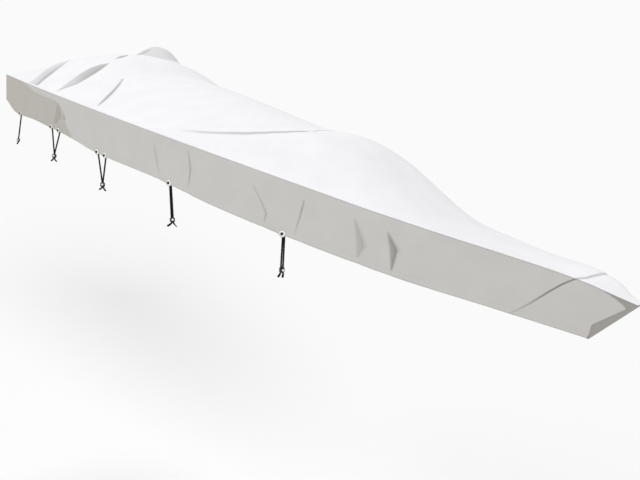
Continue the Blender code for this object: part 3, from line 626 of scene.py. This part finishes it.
TOP_FOLDS = (
    # (x1, y1, x2, y2, height, half width): the broad swells of the folds
    (0.713, -0.930, 0.450, -0.555, 0.012, 0.050),
    (0.838, -0.935, 0.460, -0.560, -0.014, 0.045),
    (1.150, -0.930, 1.020, -0.560, 0.008, 0.050),
    (1.255, -0.930, 1.130, -0.560, -0.015, 0.050),
    (1.790, -0.940, 1.440, -0.600, -0.010, 0.040),
    (1.010, -0.460, 0.770, -0.230, -0.010, 0.040),
    (0.850, 0.930, 0.470, 0.550, -0.014, 0.050),
    (1.290, 0.935, 1.100, 0.540, -0.014, 0.055),
    (1.800, 0.940, 1.420, 0.580, -0.010, 0.050),
)
PLEATS = (
    # (breadths y, aft edge's x, fore edge's x, tones, fore and aft line), a sunk face of a pleat between
    # two edges that meet at its ends; the tones are painted shade on the sunk face and the lines painted
    # shade along its edges
    ((-0.950, -0.848, -0.760, -0.600), (0.675, 0.609, 0.525, 0.430), (0.775, 0.690, 0.612, 0.470),
     (0.50, 0.55, 0.50, 0.22), 0.00, 0.00),
    ((-0.950, -0.861, -0.779, -0.689, -0.560), (0.780, 0.698, 0.630, 0.550, 0.448),
     (0.842, 0.750, 0.685, 0.603, 0.456), (0.95, 1.00, 0.95, 0.75, 0.25), 0.50, 0.00),
    ((-0.949, -0.900, -0.830, -0.768, -0.694, -0.618, -0.563),
     (1.188, 1.172, 1.152, 1.123, 1.098, 1.092, 1.111),
     (1.192, 1.213, 1.228, 1.213, 1.186, 1.145, 1.115),
     (0.57, 0.61, 0.66, 0.88, 1.00, 1.00, 1.00), 0.40, 0.25),
    ((-0.932, -0.860, -0.796, -0.735, -0.615), (1.779, 1.709, 1.652, 1.591, 1.454),
     (1.783, 1.731, 1.677, 1.613, 1.458), (1.00, 1.10, 1.15, 1.10, 0.90), 0.65, 0.50),
    ((-0.460, -0.348, -0.230), (1.008, 0.872, 0.772), (1.012, 0.912, 0.776), (1.00, 1.00, 1.00),
     1.00, 1.00),
    ((-0.010, 0.050, 0.110), (0.520, 0.512, 0.535), (0.524, 0.545, 0.548), (0.70, 0.85, 0.70),
     0.45, 0.35),
    ((0.560, 0.678, 0.800, 0.885, 0.950), (0.448, 0.552, 0.652, 0.690, 0.712),
     (0.456, 0.590, 0.690, 0.757, 0.820), (0.10, 0.35, 0.45, 0.45, 0.40), 0.35, 0.10),
    ((0.568, 0.700, 0.800, 0.880, 0.950), (1.080, 1.096, 1.157, 1.195, 1.240),
     (1.086, 1.170, 1.225, 1.250, 1.250), (0.30, 0.45, 0.45, 0.40, 0.30), 0.30, 0.15),
)
CREST_LINE = (
    # (breadth from the middle, x) of the crease along the screen's crest
    (0.10, 3.134), (0.262, 3.131), (0.310, 3.138), (0.381, 3.168), (0.420, 3.170), (0.446, 3.164),
    (0.520, 3.123), (0.593, 3.042), (0.656, 2.949), (0.707, 2.838), (0.757, 2.722), (0.797, 2.634),
    (0.831, 2.565), (0.900, 2.420), (1.00, 2.210),
)
CREST_SHADING = (
    # (breadth from the middle, darkness) of the painted shade line along that crease
    (0.00, 0.00), (0.10, 0.50), (0.452, 0.60), (0.638, 0.52), (0.756, 0.42), (0.830, 0.0),
)
HUMP_EDGE = (
    # (degrees from forward, reach) of the hump's outline from its middle
    (-180, 0.160), (-100, 0.200), (-74, 0.219), (-65, 0.227), (-52, 0.253), (-43, 0.273),
    (-33, 0.302), (-25, 0.327), (-18, 0.338), (-10, 0.334), (-2, 0.322), (11, 0.289), (40, 0.220),
    (90, 0.170), (180, 0.160),
)
# The hump's outline is filled with painted shade: TOP_SHADE, the colour of the painted shade on the hump
# and on the pleats' sunk faces, mixed in by HUMP_SHADE.
HUMP_MIDDLE = (0.470, 0.220)
HUMP_SHADE = 0.42
HUMP_SOFTNESS = 0.004
TOP_SHADE = (0.44, 0.43, 0.425)
# colour of the painted shade line along the crest's crease
CREST_SHADE_COLOUR = (0.20, 0.18, 0.175)
DISTANCE_LIMIT = 0.15
EDGE_ROLL = (
    # (out, down) of the top's edge where it is rolled over the skirts
    (0.0012, 0.0004), (0.0020, 0.0014), (0.0022, 0.0032), (0.0020, 0.0052), (0.0016, 0.0060),
)
TOP_STEPS = (
    # (from x, to x, step) of the columns, finer where the cloth is creased
    (0.00, 0.42, 0.020), (0.42, 1.82, 0.0072), (1.82, 2.50, 0.026), (2.50, 3.26, 0.0095),
    (3.26, 4.72, 0.027), (4.72, 4.86, 0.0055), (4.86, 5.00, 0.012),
)
TOP_ROWS_STARBOARD = 66
TOP_ROWS_PORT = 38
CLOTH = 0.0012
CLOTH_ROUGHNESS = 0.80
WEAVE_SCALE = 260.0
CREST_WIDTH = 0.011
# Crease across the bow: its place, a painted shade line along it and a slight sink.
BOW_CREASE_TOP = ((0.00, 0.06, 0.12, 0.15, 0.162), (4.826, 4.815, 4.790, 4.770, 4.761))
BOW_CREASE_LINE = 0.0050
BOW_CREASE_SHADE = 0.55
BOW_CREASE_SINK = 0.004
PLEAT_SINK = 0.13
PLEAT_SOFTNESS = 0.006
EDGE_LINE = 0.0060
HOME = np.array([2.5, 0.0, 0.28867])


def steps_of(table):
    """Places along a line from rows of (from, to, step)."""
    runs = [np.linspace(low, high, max(1, round((high - low) / step)), endpoint=False)
            for low, high, step in table]
    return np.concatenate(runs + [np.array([table[-1][1]])])


def fold_swell(x, y, row):
    """Height of one broad fold: h exp(-(d/w)^2), d the distance off its line,
    rising and dying away near its ends."""
    x1, y1, x2, y2, rise, half = row
    run = math.hypot(x2 - x1, y2 - y1)
    t = ((x - x1) * (x2 - x1) + (y - y1) * (y2 - y1)) / run ** 2
    off = ((x - x1) * (y2 - y1) - (y - y1) * (x2 - x1)) / run
    ends = smooth(-0.12, 0.25, t) * (1 - smooth(0.70, 1.15, t))
    return rise * np.exp(-(off / half) ** 2) * ends


def sunk_face(across, along, places, aft, fore, tones, lines, line_width, soft):
    """Depth share, painted shade and painted shade lines along the edges of a face between two edge lines.

    With v the share from the aft edge to the fore one, the depth rises smoothly from v = -0.1 to 1 and is
    gone at 1.9; the painted shade fills 0 to 1.
    """
    low, high = np.interp(across, places, aft), np.interp(across, places, fore)
    ends = smooth(places[0] - soft, places[0] + soft, across)
    ends = ends * (1 - smooth(places[-1] - soft, places[-1] + soft, across))
    width = np.maximum(high - low, 0.004)
    v = (along - low) / width
    inside = smooth(-soft, soft, along - low) * (1 - smooth(-soft, soft, along - high))
    depth = width * smooth(-0.1, 1.0, v) * (1 - smooth(1.0, 1.9, v)) * ends
    sunk_shade = np.interp(across, places, tones) * inside * ends * (0.75 + 0.25 * smooth(0.3, 0.7, v))
    edge = lines[0] * ends * np.exp(-((along - high) / line_width) ** 2)
    edge = np.maximum(edge, lines[1] * ends * np.exp(-((along - low) / line_width) ** 2))
    return depth, sunk_shade, edge


def crease_distances(x, y):
    """Signed distances in metres to the crest's crease and inside the hump's outline, which the finish
    turns into a painted shade line and a painted shade fill.

    The crest's is (x - c(y)) cos t, with tan t the slope dc/dy there.
    """
    side = np.abs(y)
    places, crest_x = np.array(CREST_LINE).T
    crest = np.interp(side, places, crest_x)
    slope = (np.interp(side + 0.01, places, crest_x) - np.interp(side - 0.01, places, crest_x)) / 0.02
    crest = np.clip((x - crest) / np.sqrt(1 + slope ** 2), -DISTANCE_LIMIT, DISTANCE_LIMIT)
    ahead, aside = x - HUMP_MIDDLE[0], y - HUMP_MIDDLE[1]
    reach = np.interp(np.degrees(np.arctan2(aside, ahead)), *np.array(HUMP_EDGE, float).T)
    return crest, np.clip(reach - np.hypot(ahead, aside), -DISTANCE_LIMIT, DISTANCE_LIMIT)


def top_surface(x, across):
    """Height of the top with its folds and slack, and its marks: "edge", painted shade along crease lines,
    the painted shade on the sunk faces of pleats, and the distances."""
    y = half_breadth(x) * across
    side = np.abs(across)
    height = arch_height(x, across)
    edge, sunk_shade = np.zeros_like(height), np.zeros_like(height)
    for row in TOP_FOLDS:
        height = height + fold_swell(x, y, row) * (1 - side ** 8)
    # Pleats: sunk faces filled with painted shade, with painted shade lines along their edges.
    for places, aft, fore, tones, fore_line, aft_line in PLEATS:
        depth, fill, line = sunk_face(y, x, places, aft, fore, tones, (fore_line, aft_line),
                                      EDGE_LINE, PLEAT_SOFTNESS)
        height = height - PLEAT_SINK * depth * (1 - side ** 8)
        sunk_shade, edge = np.maximum(sunk_shade, fill), np.maximum(edge, line)
    crease = np.interp(np.abs(y), *BOW_CREASE_TOP)
    # painted shade line along the bow crease
    edge = np.maximum(edge, BOW_CREASE_SHADE * np.exp(-((x - crease) / BOW_CREASE_LINE) ** 2))
    dip = np.exp(-((x - crease - 0.010) / 0.013) ** 2)
    height = height - BOW_CREASE_SINK * dip * (1 - side ** 8)
    slack = np.sin(9.0 * x + 3.0 * y + 1.7 * np.sin(4.0 * y)) * np.sin(5.0 * y - 2.0 * x + 0.6)
    pulls = np.sin(31.0 * x + 11.0 * np.abs(y) + 2.0 * np.sin(6.0 * x)) * smooth(0.55, 0.9, side)
    height = height + (0.0016 * slack + 0.0008 * pulls) * (1 - side ** 6)
    crest, hump = crease_distances(x, y)
    # darkness of the painted shade line along the crest
    ink = np.interp(np.abs(y), *np.array(CREST_SHADING).T) * smooth(2.3, 2.6, x)
    return height, {"edge": edge, "sunk_shade": sunk_shade, "crest": crest, "hump": hump, "ink": ink}


def mark_of(nodes, mark):
    """Socket of a mark, which the cloth carries at each of its points."""
    value = nodes.new("ShaderNodeAttribute")
    value.attribute_name = mark
    return value.outputs["Fac"]


def mixed_in(nodes, links, latest, factor, dark, blend="MIX"):
    """Socket of the latest colour with a dark one mixed in by a factor."""
    mixer = nodes.new("ShaderNodeMix")
    mixer.data_type = "RGBA"
    mixer.blend_type = blend
    mixer.inputs["B"].default_value = (*dark, 1.0)
    links.new(factor, mixer.inputs["Factor"])
    links.new(latest, mixer.inputs["A"])
    return mixer.outputs["Result"]


def base_colour(material):
    """Nodes and links of a finish, its colour's input and what feeds it now."""
    nodes, links = material.node_tree.nodes, material.node_tree.links
    base = nodes["Principled BSDF"].inputs["Base Color"]
    return nodes, links, base, base.links[0].from_socket


def cloth_material(name, colour, shade, dark_line_colour):
    """Coated polyester cloth: a plain weave of two waves, cloudy wear, and painted shade where its marks
    say: a darker fill on the sunk faces of pleats and facets, and dark lines where the mark "edge" says,
    painted shade along creases and the hem's groove."""
    material, nodes, links, shader = detailed(name, colour, CLOTH_ROUGHNESS, 0.22)
    mottled(nodes, links, shader, colour, 7.0, 0.975, 1.015)
    shader.inputs["Sheen Weight"].default_value = 0.05
    shader.inputs["Sheen Roughness"].default_value = 0.6
    base, latest = base_colour(material)[2:]
    # Painted shade: a darker fill on sunk faces, then dark lines along creases and the hem.
    for mark, dark in (("sunk_shade", shade), ("edge", dark_line_colour)):
        latest = mixed_in(nodes, links, latest, mark_of(nodes, mark), dark)
    links.new(latest, base)
    place = nodes.new("ShaderNodeTexCoord")
    weave = nodes.new("ShaderNodeMath")
    weave.operation = "MULTIPLY"
    for direction, socket in zip("XY", weave.inputs):
        wave = nodes.new("ShaderNodeTexWave")
        wave.bands_direction = direction
        wave.inputs["Scale"].default_value = WEAVE_SCALE
        wave.inputs["Distortion"].default_value = 0.6
        links.new(place.outputs["UV"], wave.inputs["Vector"])
        links.new(wave.outputs["Fac"], socket)
    bumped(nodes, links, shader, weave.outputs["Value"], 0.12, 0.0003)
    return material


def thickened(piece):
    """Gives a sheet the cloth's thickness on its inner side."""
    solid = piece.modifiers.new("cloth", "SOLIDIFY")
    solid.thickness = CLOTH
    solid.offset = -1.0
    return piece


def make_top():
    """Top panel: its lattice over length and breadth, with the edge rolled
    down over the skirts all round."""
    x = steps_of(TOP_STEPS)
    starboard = np.linspace(-1.0, 0.0, TOP_ROWS_STARBOARD, endpoint=False)
    even = np.concatenate((starboard, np.linspace(0.0, 1.0, TOP_ROWS_PORT)))
    across = 0.80 * even + 0.20 * np.sin(even * math.pi / 2)
    x, across = np.meshgrid(x, across, indexing="ij")
    height, marks = top_surface(x, across)
    plan_x, plan_y = plan_point(x, across)
    points = np.stack((plan_x, plan_y, gunwale_height(x) + height), axis=-1) - HOME
    roll = len(EDGE_ROLL)
    points = np.pad(points, ((roll, roll), (roll, roll), (0, 0)), mode="edge")
    marks = {mark: np.pad(value, roll, mode="edge") for mark, value in marks.items()}
    out, down = np.vstack(((0.0, 0.0), EDGE_ROLL)).T
    aft, low = (np.arange(count) - roll for count in points.shape[:2])
    fore, high = (count - 1 - 2 * roll - part for count, part in zip(points.shape[:2], (aft, low)))
    ring_x = np.clip(-np.minimum(aft, fore), 0, roll)[:, None]
    ring_y = np.clip(-np.minimum(low, high), 0, roll)[None, :]
    points[..., 0] += out[ring_x] * np.sign(aft - fore)[:, None]
    points[..., 1] += out[ring_y] * np.sign(low - high)[None, :]
    points[..., 2] -= down[np.maximum(ring_x, ring_y)]
    run = np.concatenate((np.zeros((len(points), 1)),
                          np.cumsum(np.linalg.norm(np.diff(points, axis=1), axis=2), axis=1)), axis=1)
    uv = np.stack((points[..., 0], run), axis=-1)
    top = lattice_piece("top_panel", points, uv, TOP_LOOKS, marks=marks)
    fitted(thickened(top), "cover_top")


def add_crest_line(material):
    """Mixes in the hump's painted shade, which fills its outline with a soft edge, and then the painted
    shade line along the crest's crease, its darkness times exp(-(crest / w)^2)."""
    nodes, links, base, latest = base_colour(material)
    crest, ink, hump = [mark_of(nodes, mark) for mark in ("crest", "ink", "hump")]

    def worked(operation, first, second):
        node = nodes.new("ShaderNodeMath")
        node.operation = operation
        for socket, value in zip(node.inputs, (first, second)):
            if isinstance(value, float):
                socket.default_value = value
            else:
                links.new(value, socket)
        return node.outputs["Value"]

    squared = worked("MULTIPLY", crest, crest)
    fall = worked("EXPONENT", worked("MULTIPLY", squared, -1.0 / CREST_WIDTH ** 2), 0.0)
    patch = nodes.new("ShaderNodeMapRange")
    patch.interpolation_type = "SMOOTHSTEP"
    patch.inputs["From Min"].default_value = -HUMP_SOFTNESS
    patch.inputs["From Max"].default_value = HUMP_SOFTNESS
    patch.inputs["To Max"].default_value = HUMP_SHADE
    links.new(hump, patch.inputs["Value"])
    # painted shade over the hump's face
    latest = mixed_in(nodes, links, latest, patch.outputs["Result"], TOP_SHADE)
    latest = mixed_in(nodes, links, latest, worked("MULTIPLY", fall, ink), CREST_SHADE_COLOUR)
    links.new(latest, base)


TOP_LOOKS = cloth_material("top_cloth", (0.86, 0.85, 0.875), TOP_SHADE, (0.20, 0.195, 0.19))
add_crest_line(TOP_LOOKS)
make_top()

# ---- side skirts --------------------------------------------------------
# A strip of grey coated cloth down each side, sewn under the top's edge at
# the gunwale and hemmed below, pulled down a little at each eyelet.  Its
# sharp creases come from the folds it was stored in.
SKIRT_FOLDS = (
    # (x at top, x at hem, start depth share, height, half width)
    (1.300, 1.285, 0.20, -0.010, 0.040),
    (1.360, 1.560, 0.30, 0.008, 0.050),
    (2.455, 2.555, 0.28, -0.007, 0.030),
    (2.750, 2.795, 0.16, -0.009, 0.034),
    (3.180, 3.360, 0.32, -0.008, 0.036),
    (3.600, 3.590, 0.26, -0.008, 0.036),
    (3.800, 3.905, 0.24, -0.013, 0.042),
    (3.970, 4.085, 0.26, -0.016, 0.042),
    (4.757, 4.665, 0.00, 0.008, 0.034),
)
CREASES = (
    # (depths, x at each depth, darkness of the painted shade line there, half width)
    ((0.070, 0.128, 0.187, 0.240), (2.469, 2.493, 2.520, 2.549), (0.15, 0.40, 0.40, 0.10), 0.0040),
    ((0.040, 0.099, 0.141, 0.198, 0.244), (2.752, 2.770, 2.783, 2.788, 2.786),
     (0.25, 0.60, 0.70, 0.45, 0.15), 0.0042),
    ((0.092, 0.154, 0.213, 0.264), (3.224, 3.287, 3.341, 3.343), (0.20, 0.45, 0.60, 0.20), 0.0042),
    ((0.072, 0.115, 0.158, 0.262), (3.532, 3.535, 3.537, 3.540), (0.30, 0.50, 0.45, 0.12), 0.0046),
    ((-0.001, 0.006, 0.047, 0.094, 0.140, 0.190, 0.240, 0.275),
     (4.764, 4.760, 4.740, 4.726, 4.715, 4.703, 4.685, 4.671),
     (0.60, 0.75, 0.90, 0.85, 0.75, 0.50, 0.30, 0.20), 0.0046),
)
FACETS = (
    # (depths, aft edge's x, fore edge's x, tones, fore and aft line): sunk three-cornered faces beside a
    # crease, the tones painted shade on the face and the lines painted shade along its edges
    ((0.053, 0.088, 0.125, 0.150, 0.180, 0.210), (1.289, 1.278, 1.270, 1.268, 1.264, 1.260),
     (1.293, 1.338, 1.364, 1.374, 1.322, 1.264), (0.30, 0.34, 0.38, 0.38, 0.36, 0.20), 0.05, 0.12),
    ((0.068, 0.162, 0.200, 0.262), (3.806, 3.852, 3.871, 3.902), (3.809, 3.881, 3.907, 3.905),
     (0.42, 0.44, 0.44, 0.40), 0.05, 0.05),
    ((0.079, 0.156, 0.266), (3.981, 4.025, 4.086), (3.983, 4.060, 4.090), (0.96, 0.96, 0.98),
     0.10, 0.15),
)
STERN_SHADE = (
    # (x, depth below which painted shade makes the cloth darker and warmer)
    (0.00, -0.005), (0.45, 0.005), (0.625, 0.021), (0.751, 0.033), (0.847, 0.046), (1.078, 0.049),
    (1.227, 0.045), (1.291, 0.054), (1.352, 0.073), (1.428, 0.152), (1.565, 0.229), (1.59, 0.32),
    (5.0, 0.90),
)
SEAM_DROP = 0.0024
RAKE_FROM = 0.55
RAKE_UNTIL = 0.12
INSET_FROM = 0.90
CREASE_SINK = 0.0045
CREASE_REACH = 0.014
FACET_SINK = 0.30
FACET_SOFTNESS = 0.0036
HEM_LINE = 0.885
HEM_PROUD = 0.0005
HEM_SHADE = 0.07
PUCKER = 0.0006
SKIRT_ROWS = 38
SKIRT_SPACING = 0.013
FINE_SPACING = 0.0036


def hem_depth(x):
    """Depth of the hem below the gunwale, without the dips at the eyelets."""
    return through(SKIRT_DEPTH, x) + through(GUNWALE_LIFT, x)


def crease_marks(x, drop, row):
    """Darkness and depth share of a crease line through its depths: a painted shade line exp(-(d/w)^2),
    with the cloth drawn in beside it."""
    depths, places, darkness, half = row
    centre = np.interp(drop, depths, places)
    ends = smooth(depths[0] - 0.008, depths[0] + 0.004, drop)
    ends = ends * (1 - smooth(depths[-1] - 0.004, depths[-1] + 0.010, drop))
    dark = np.interp(drop, depths, darkness) * ends
    v = (x - centre) / CREASE_REACH
    sunk = dark * smooth(-2.4, 0.0, v) * (1 - smooth(0.0, 0.9, v))
    return dark * np.exp(-((x - centre) / half) ** 2), sunk


def skirt_surface(x, across, share):
    """Place on a side skirt at a depth share 0 to 1, with its marks.

    drop = seam + (depth - seam) share; the hem hangs inside the gunwale, the
    stem rakes aft and the transom forward in proportion to the drop, and
    the folds and creases push the face in or out.
    """
    plan_x, plan_y = plan_point(x, across)
    depth = hem_depth(x)
    clear = np.ones_like(x)
    for place in EYELET_X:
        near = np.clip(np.abs(x - place) / LOBE_HALF, 0.0, 1.0)
        depth = depth + LOBE_DEPTH * 0.5 * (1 + np.cos(math.pi * near)) * smooth(0.55, 1.0, share)
        clear = clear * smooth(0.018, 0.072, np.abs(x - place))
    raked = -STEM_RAKE * smooth(RAKE_FROM * LENGTH, LENGTH, x)
    raked = raked + TRANSOM_RAKE * (1 - smooth(0.0, RAKE_UNTIL * LENGTH, x))
    inset = SKIRT_INSET + (NOSE_INSET - SKIRT_INSET) * smooth(INSET_FROM * LENGTH, LENGTH, x)
    drop = SEAM_DROP + (depth - SEAM_DROP) * share
    push, edge, sunk_shade = np.zeros_like(x), np.zeros_like(x), np.zeros_like(x)
    for top_x, hem_x, start, rise, half in SKIRT_FOLDS:
        centre = top_x + (hem_x - top_x) * share
        body = smooth(start, start + 0.35, share) if start > 0 else np.ones_like(share)
        push = push + 0.6 * rise * np.exp(-((x - centre) / half) ** 2) * body
    # Creases get painted shade lines, and the facets' sunk faces a painted shade fill.
    for row in CREASES:
        line, sunk = crease_marks(x, drop, row)
        edge = np.maximum(edge, line)
        push = push - CREASE_SINK * sunk
    for places, aft, fore, tones, fore_line, aft_line in FACETS:
        sunk, fill, line = sunk_face(drop, x, places, aft, fore, tones, (fore_line, aft_line),
                                     FACET_SOFTNESS, FACET_SOFTNESS)
        push = push - FACET_SINK * sunk
        sunk_shade, edge = np.maximum(sunk_shade, fill), np.maximum(edge, line)
    ripple = np.sin(23.0 * x + 2.0 * np.sin(5.0 * x)) * np.sin(2.4 * share + 1.3 * x)
    push = (push + 0.0010 * ripple) * clear * smooth(0.0, 0.25, share)
    pucker = np.zeros_like(x)
    for place in EYELET_X:
        below = drop - hem_depth(place) + EYELET_ABOVE
        reach, turn = np.hypot(x - place, below), np.arctan2(below, x - place)
        ring = smooth(0.016, 0.024, reach) * (1 - smooth(0.026, 0.060, reach))
        pucker = pucker + np.cos(9.0 * turn + place) * ring
    hem = smooth(HEM_LINE + 0.01, HEM_LINE + 0.02, share) - np.exp(-((share - HEM_LINE) / 0.012) ** 2)
    push = (push + PUCKER * pucker + HEM_PROUD * hem) * (1 - smooth(0.97 * LENGTH, LENGTH, x))
    # painted shade line in the groove above the hem
    edge = np.maximum(edge, HEM_SHADE * np.exp(-((share - HEM_LINE) / 0.010) ** 2))
    # painted shade over the stern end of the skirt, below the table's line
    stern_shaded = smooth(-0.004, 0.006, drop - np.interp(x, *np.array(STERN_SHADE).T))
    fallen = drop / hem_depth(x)
    out = -inset * fallen + push
    y = plan_y + np.sign(across) * out * np.abs(across)
    x_place = x + (plan_x - x) * (1 - share) + raked * fallen
    points = np.stack((x_place, y, gunwale_height(x) - drop), axis=-1) - HOME
    return points, {"edge": edge, "sunk_shade": sunk_shade, "stern_shade": stern_shaded}


def skirt_columns():
    """Lengths of the columns, close together at creases, facets and eyelets,
    then shares of the half breadth round the nose."""
    fine = [(place - 0.05, place + 0.05) for place in EYELET_X]
    fine += [(min(row[1]) - 0.02, max(row[1]) + 0.02) for row in CREASES]
    fine += [(min(row[1]) - 0.02, max(row[2]) + 0.04) for row in FACETS]
    x = np.linspace(0.0, LENGTH, int(LENGTH / SKIRT_SPACING) + 1)
    keep = np.ones(len(x), bool)
    pieces = []
    for low, high in fine:
        keep &= (x < low) | (x > high)
        pieces.append(np.linspace(low, high, int((high - low) / FINE_SPACING) + 1))
    x = np.unique(np.round(np.concatenate([x[keep]] + pieces), 4))
    x = x[np.concatenate(([True], np.diff(x) > 0.0012))]
    nose = np.array([0.85, 0.65, 0.45, 0.25, 0.04])
    return (np.concatenate((x, np.full(len(nose), LENGTH))),
            np.concatenate((np.ones(len(x)), nose)))


def add_stern_shade(material, dark):
    """Mixes in a darker, warmer painted shade where the stern's shade mark says."""
    nodes, links, base, latest = base_colour(material)
    links.new(mixed_in(nodes, links, latest, mark_of(nodes, "stern_shade"), dark, "MULTIPLY"), base)


def make_side_skirt(name, side):
    """Side skirt over its columns and depth shares; starboard is side -1."""
    stations, breadths = skirt_columns()
    share = np.linspace(0.0, 1.0, SKIRT_ROWS + 1)
    x, share = np.meshgrid(stations, share, indexing="ij")
    across = np.repeat(breadths[:, None], SKIRT_ROWS + 1, axis=1) * side
    points, marks = skirt_surface(x, across, share)
    uv = np.stack((x, share * 0.25), axis=-1)
    skirt = lattice_piece("skirt_" + name + "_cloth", points, uv, SKIRT_LOOKS, flip=side < 0, marks=marks)
    fitted(thickened(skirt), "skirt_" + name)


# After the grey: the painted shade for sunk facets and for dark crease and hem lines.
SKIRT_LOOKS = cloth_material("skirt_cloth", (0.541, 0.531, 0.508), (0.27, 0.265, 0.25), (0.09, 0.085, 0.08))
# darker, warmer painted shade at the stern
add_stern_shade(SKIRT_LOOKS, (0.84, 0.82, 0.78))
make_side_skirt("starboard", -1.0)
make_side_skirt("port", 1.0)

# ---- transom skirt ------------------------------------------------------
# The same grey cloth across the stern, cut with an arched upper edge to meet
# the end of the top, and held between the side skirts at its corners.
STERN_DROP = 0.0046
STERN_SAG = 0.0040
TRANSOM_COLUMNS = 150


def make_transom_skirt():
    """Transom skirt: straight across, raked forward, its upper edge arched."""
    across, share = np.meshgrid(np.linspace(-1.0, 1.0, TRANSOM_COLUMNS + 1),
                                np.linspace(0.0, 1.0, SKIRT_ROWS + 1), indexing="ij")
    zero = np.zeros_like(across)
    arch = arch_height(zero, across)
    drop = STERN_DROP + (hem_depth(zero) - STERN_DROP) * share
    fallen = drop / hem_depth(zero)
    half = HALF_TRANSOM - SKIRT_INSET * fallen - SEAM_DROP
    sag = STERN_SAG * np.sin(7.0 * across + 1.1) * smooth(0.1, 0.9, share) * (1 - across ** 8)
    points = np.stack((TRANSOM_RAKE * fallen + sag, half * across, arch * (1 - share) - drop), axis=-1)
    # the transom skirt takes the painted stern shade all over but for its top edge
    stern_shaded = np.ones_like(across) * smooth(0.0, 0.08, share)
    # painted shade line at the hem's height, as on the side skirts
    edge = 0.10 * np.exp(-((share - HEM_LINE) / 0.012) ** 2)
    uv = np.stack((half * across, share * 0.30), axis=-1)
    skirt = lattice_piece("skirt_transom_cloth", points - HOME, uv, SKIRT_LOOKS,
                          marks={"edge": edge, "sunk_shade": zero, "stern_shade": stern_shaded})
    fitted(thickened(skirt), "skirt_transom")


make_transom_skirt()

# ---- bow band -----------------------------------------------------------
# A strip of tougher cloth sewn round the stem over the skirts' ends, where the cover would chafe, running a
# little way aft under the top's edge. Its dark grey is painted shade, for where the cloth turns round the
# stem.
BAND = (
    # (depth share, reach aft)
    (0.015, 0.132), (0.05, 0.078), (0.11, 0.030), (0.16, 0.008), (0.42, 0.024), (0.69, 0.042),
    (0.90, 0.014), (1.00, 0.006),
)
BAND_COLUMNS = 22
BAND_ROWS = 40
BAND_GAP = 0.0018


def make_bow_band():
    """Band round the stem, pushed out from the skirts along their normal."""
    share = np.linspace(BAND[0][0], 1.0, BAND_ROWS + 1)
    reach = np.interp(share, *np.array(BAND).T)
    back = np.linspace(1.0, 0.0, BAND_COLUMNS + 1)
    nose = np.array([0.8, 0.6, 0.4, 0.2, 0.0])
    x = np.concatenate((LENGTH - back[:, None] * reach, np.full((len(nose), len(share)), LENGTH)))
    breadth = np.concatenate((np.ones(len(back)), nose))[:, None] * np.ones(len(share))
    depth = np.ones((len(x), 1)) * share
    starboard, _marks = skirt_surface(x, np.minimum(-breadth, -1e-9), depth)
    port, _marks = skirt_surface(x, np.maximum(breadth, 1e-9), depth)
    points = np.concatenate((starboard, port[-2::-1]))
    normal = unit(np.cross(np.gradient(points, axis=1), np.gradient(points, axis=0)))
    normal = normal * np.sign(normal[len(points) // 2, 0, 0])
    points = points + normal * BAND_GAP
    run = np.concatenate((np.zeros((1, len(share))),
                          np.cumsum(np.linalg.norm(np.diff(points, axis=0), axis=2), axis=0)))
    uv = np.stack(np.broadcast_arrays(run, share * 0.25), axis=-1)
    girth = run[-1:, :]
    edge = 0.10 * np.exp(-((np.minimum(run, girth - run) - 0.004) / 0.0025) ** 2)
    band = lattice_piece("bow_band_cloth", points, uv, BAND_LOOKS, flip=True,
                         marks={"edge": edge, "sunk_shade": np.zeros_like(edge)})
    fitted(thickened(band), "bow_band")


# The band's dark grey colour is painted shade round the stem.
BAND_LOOKS = cloth_material("band_cloth", (0.335, 0.320, 0.300), (0.20, 0.19, 0.18), (0.10, 0.095, 0.09))
make_bow_band()
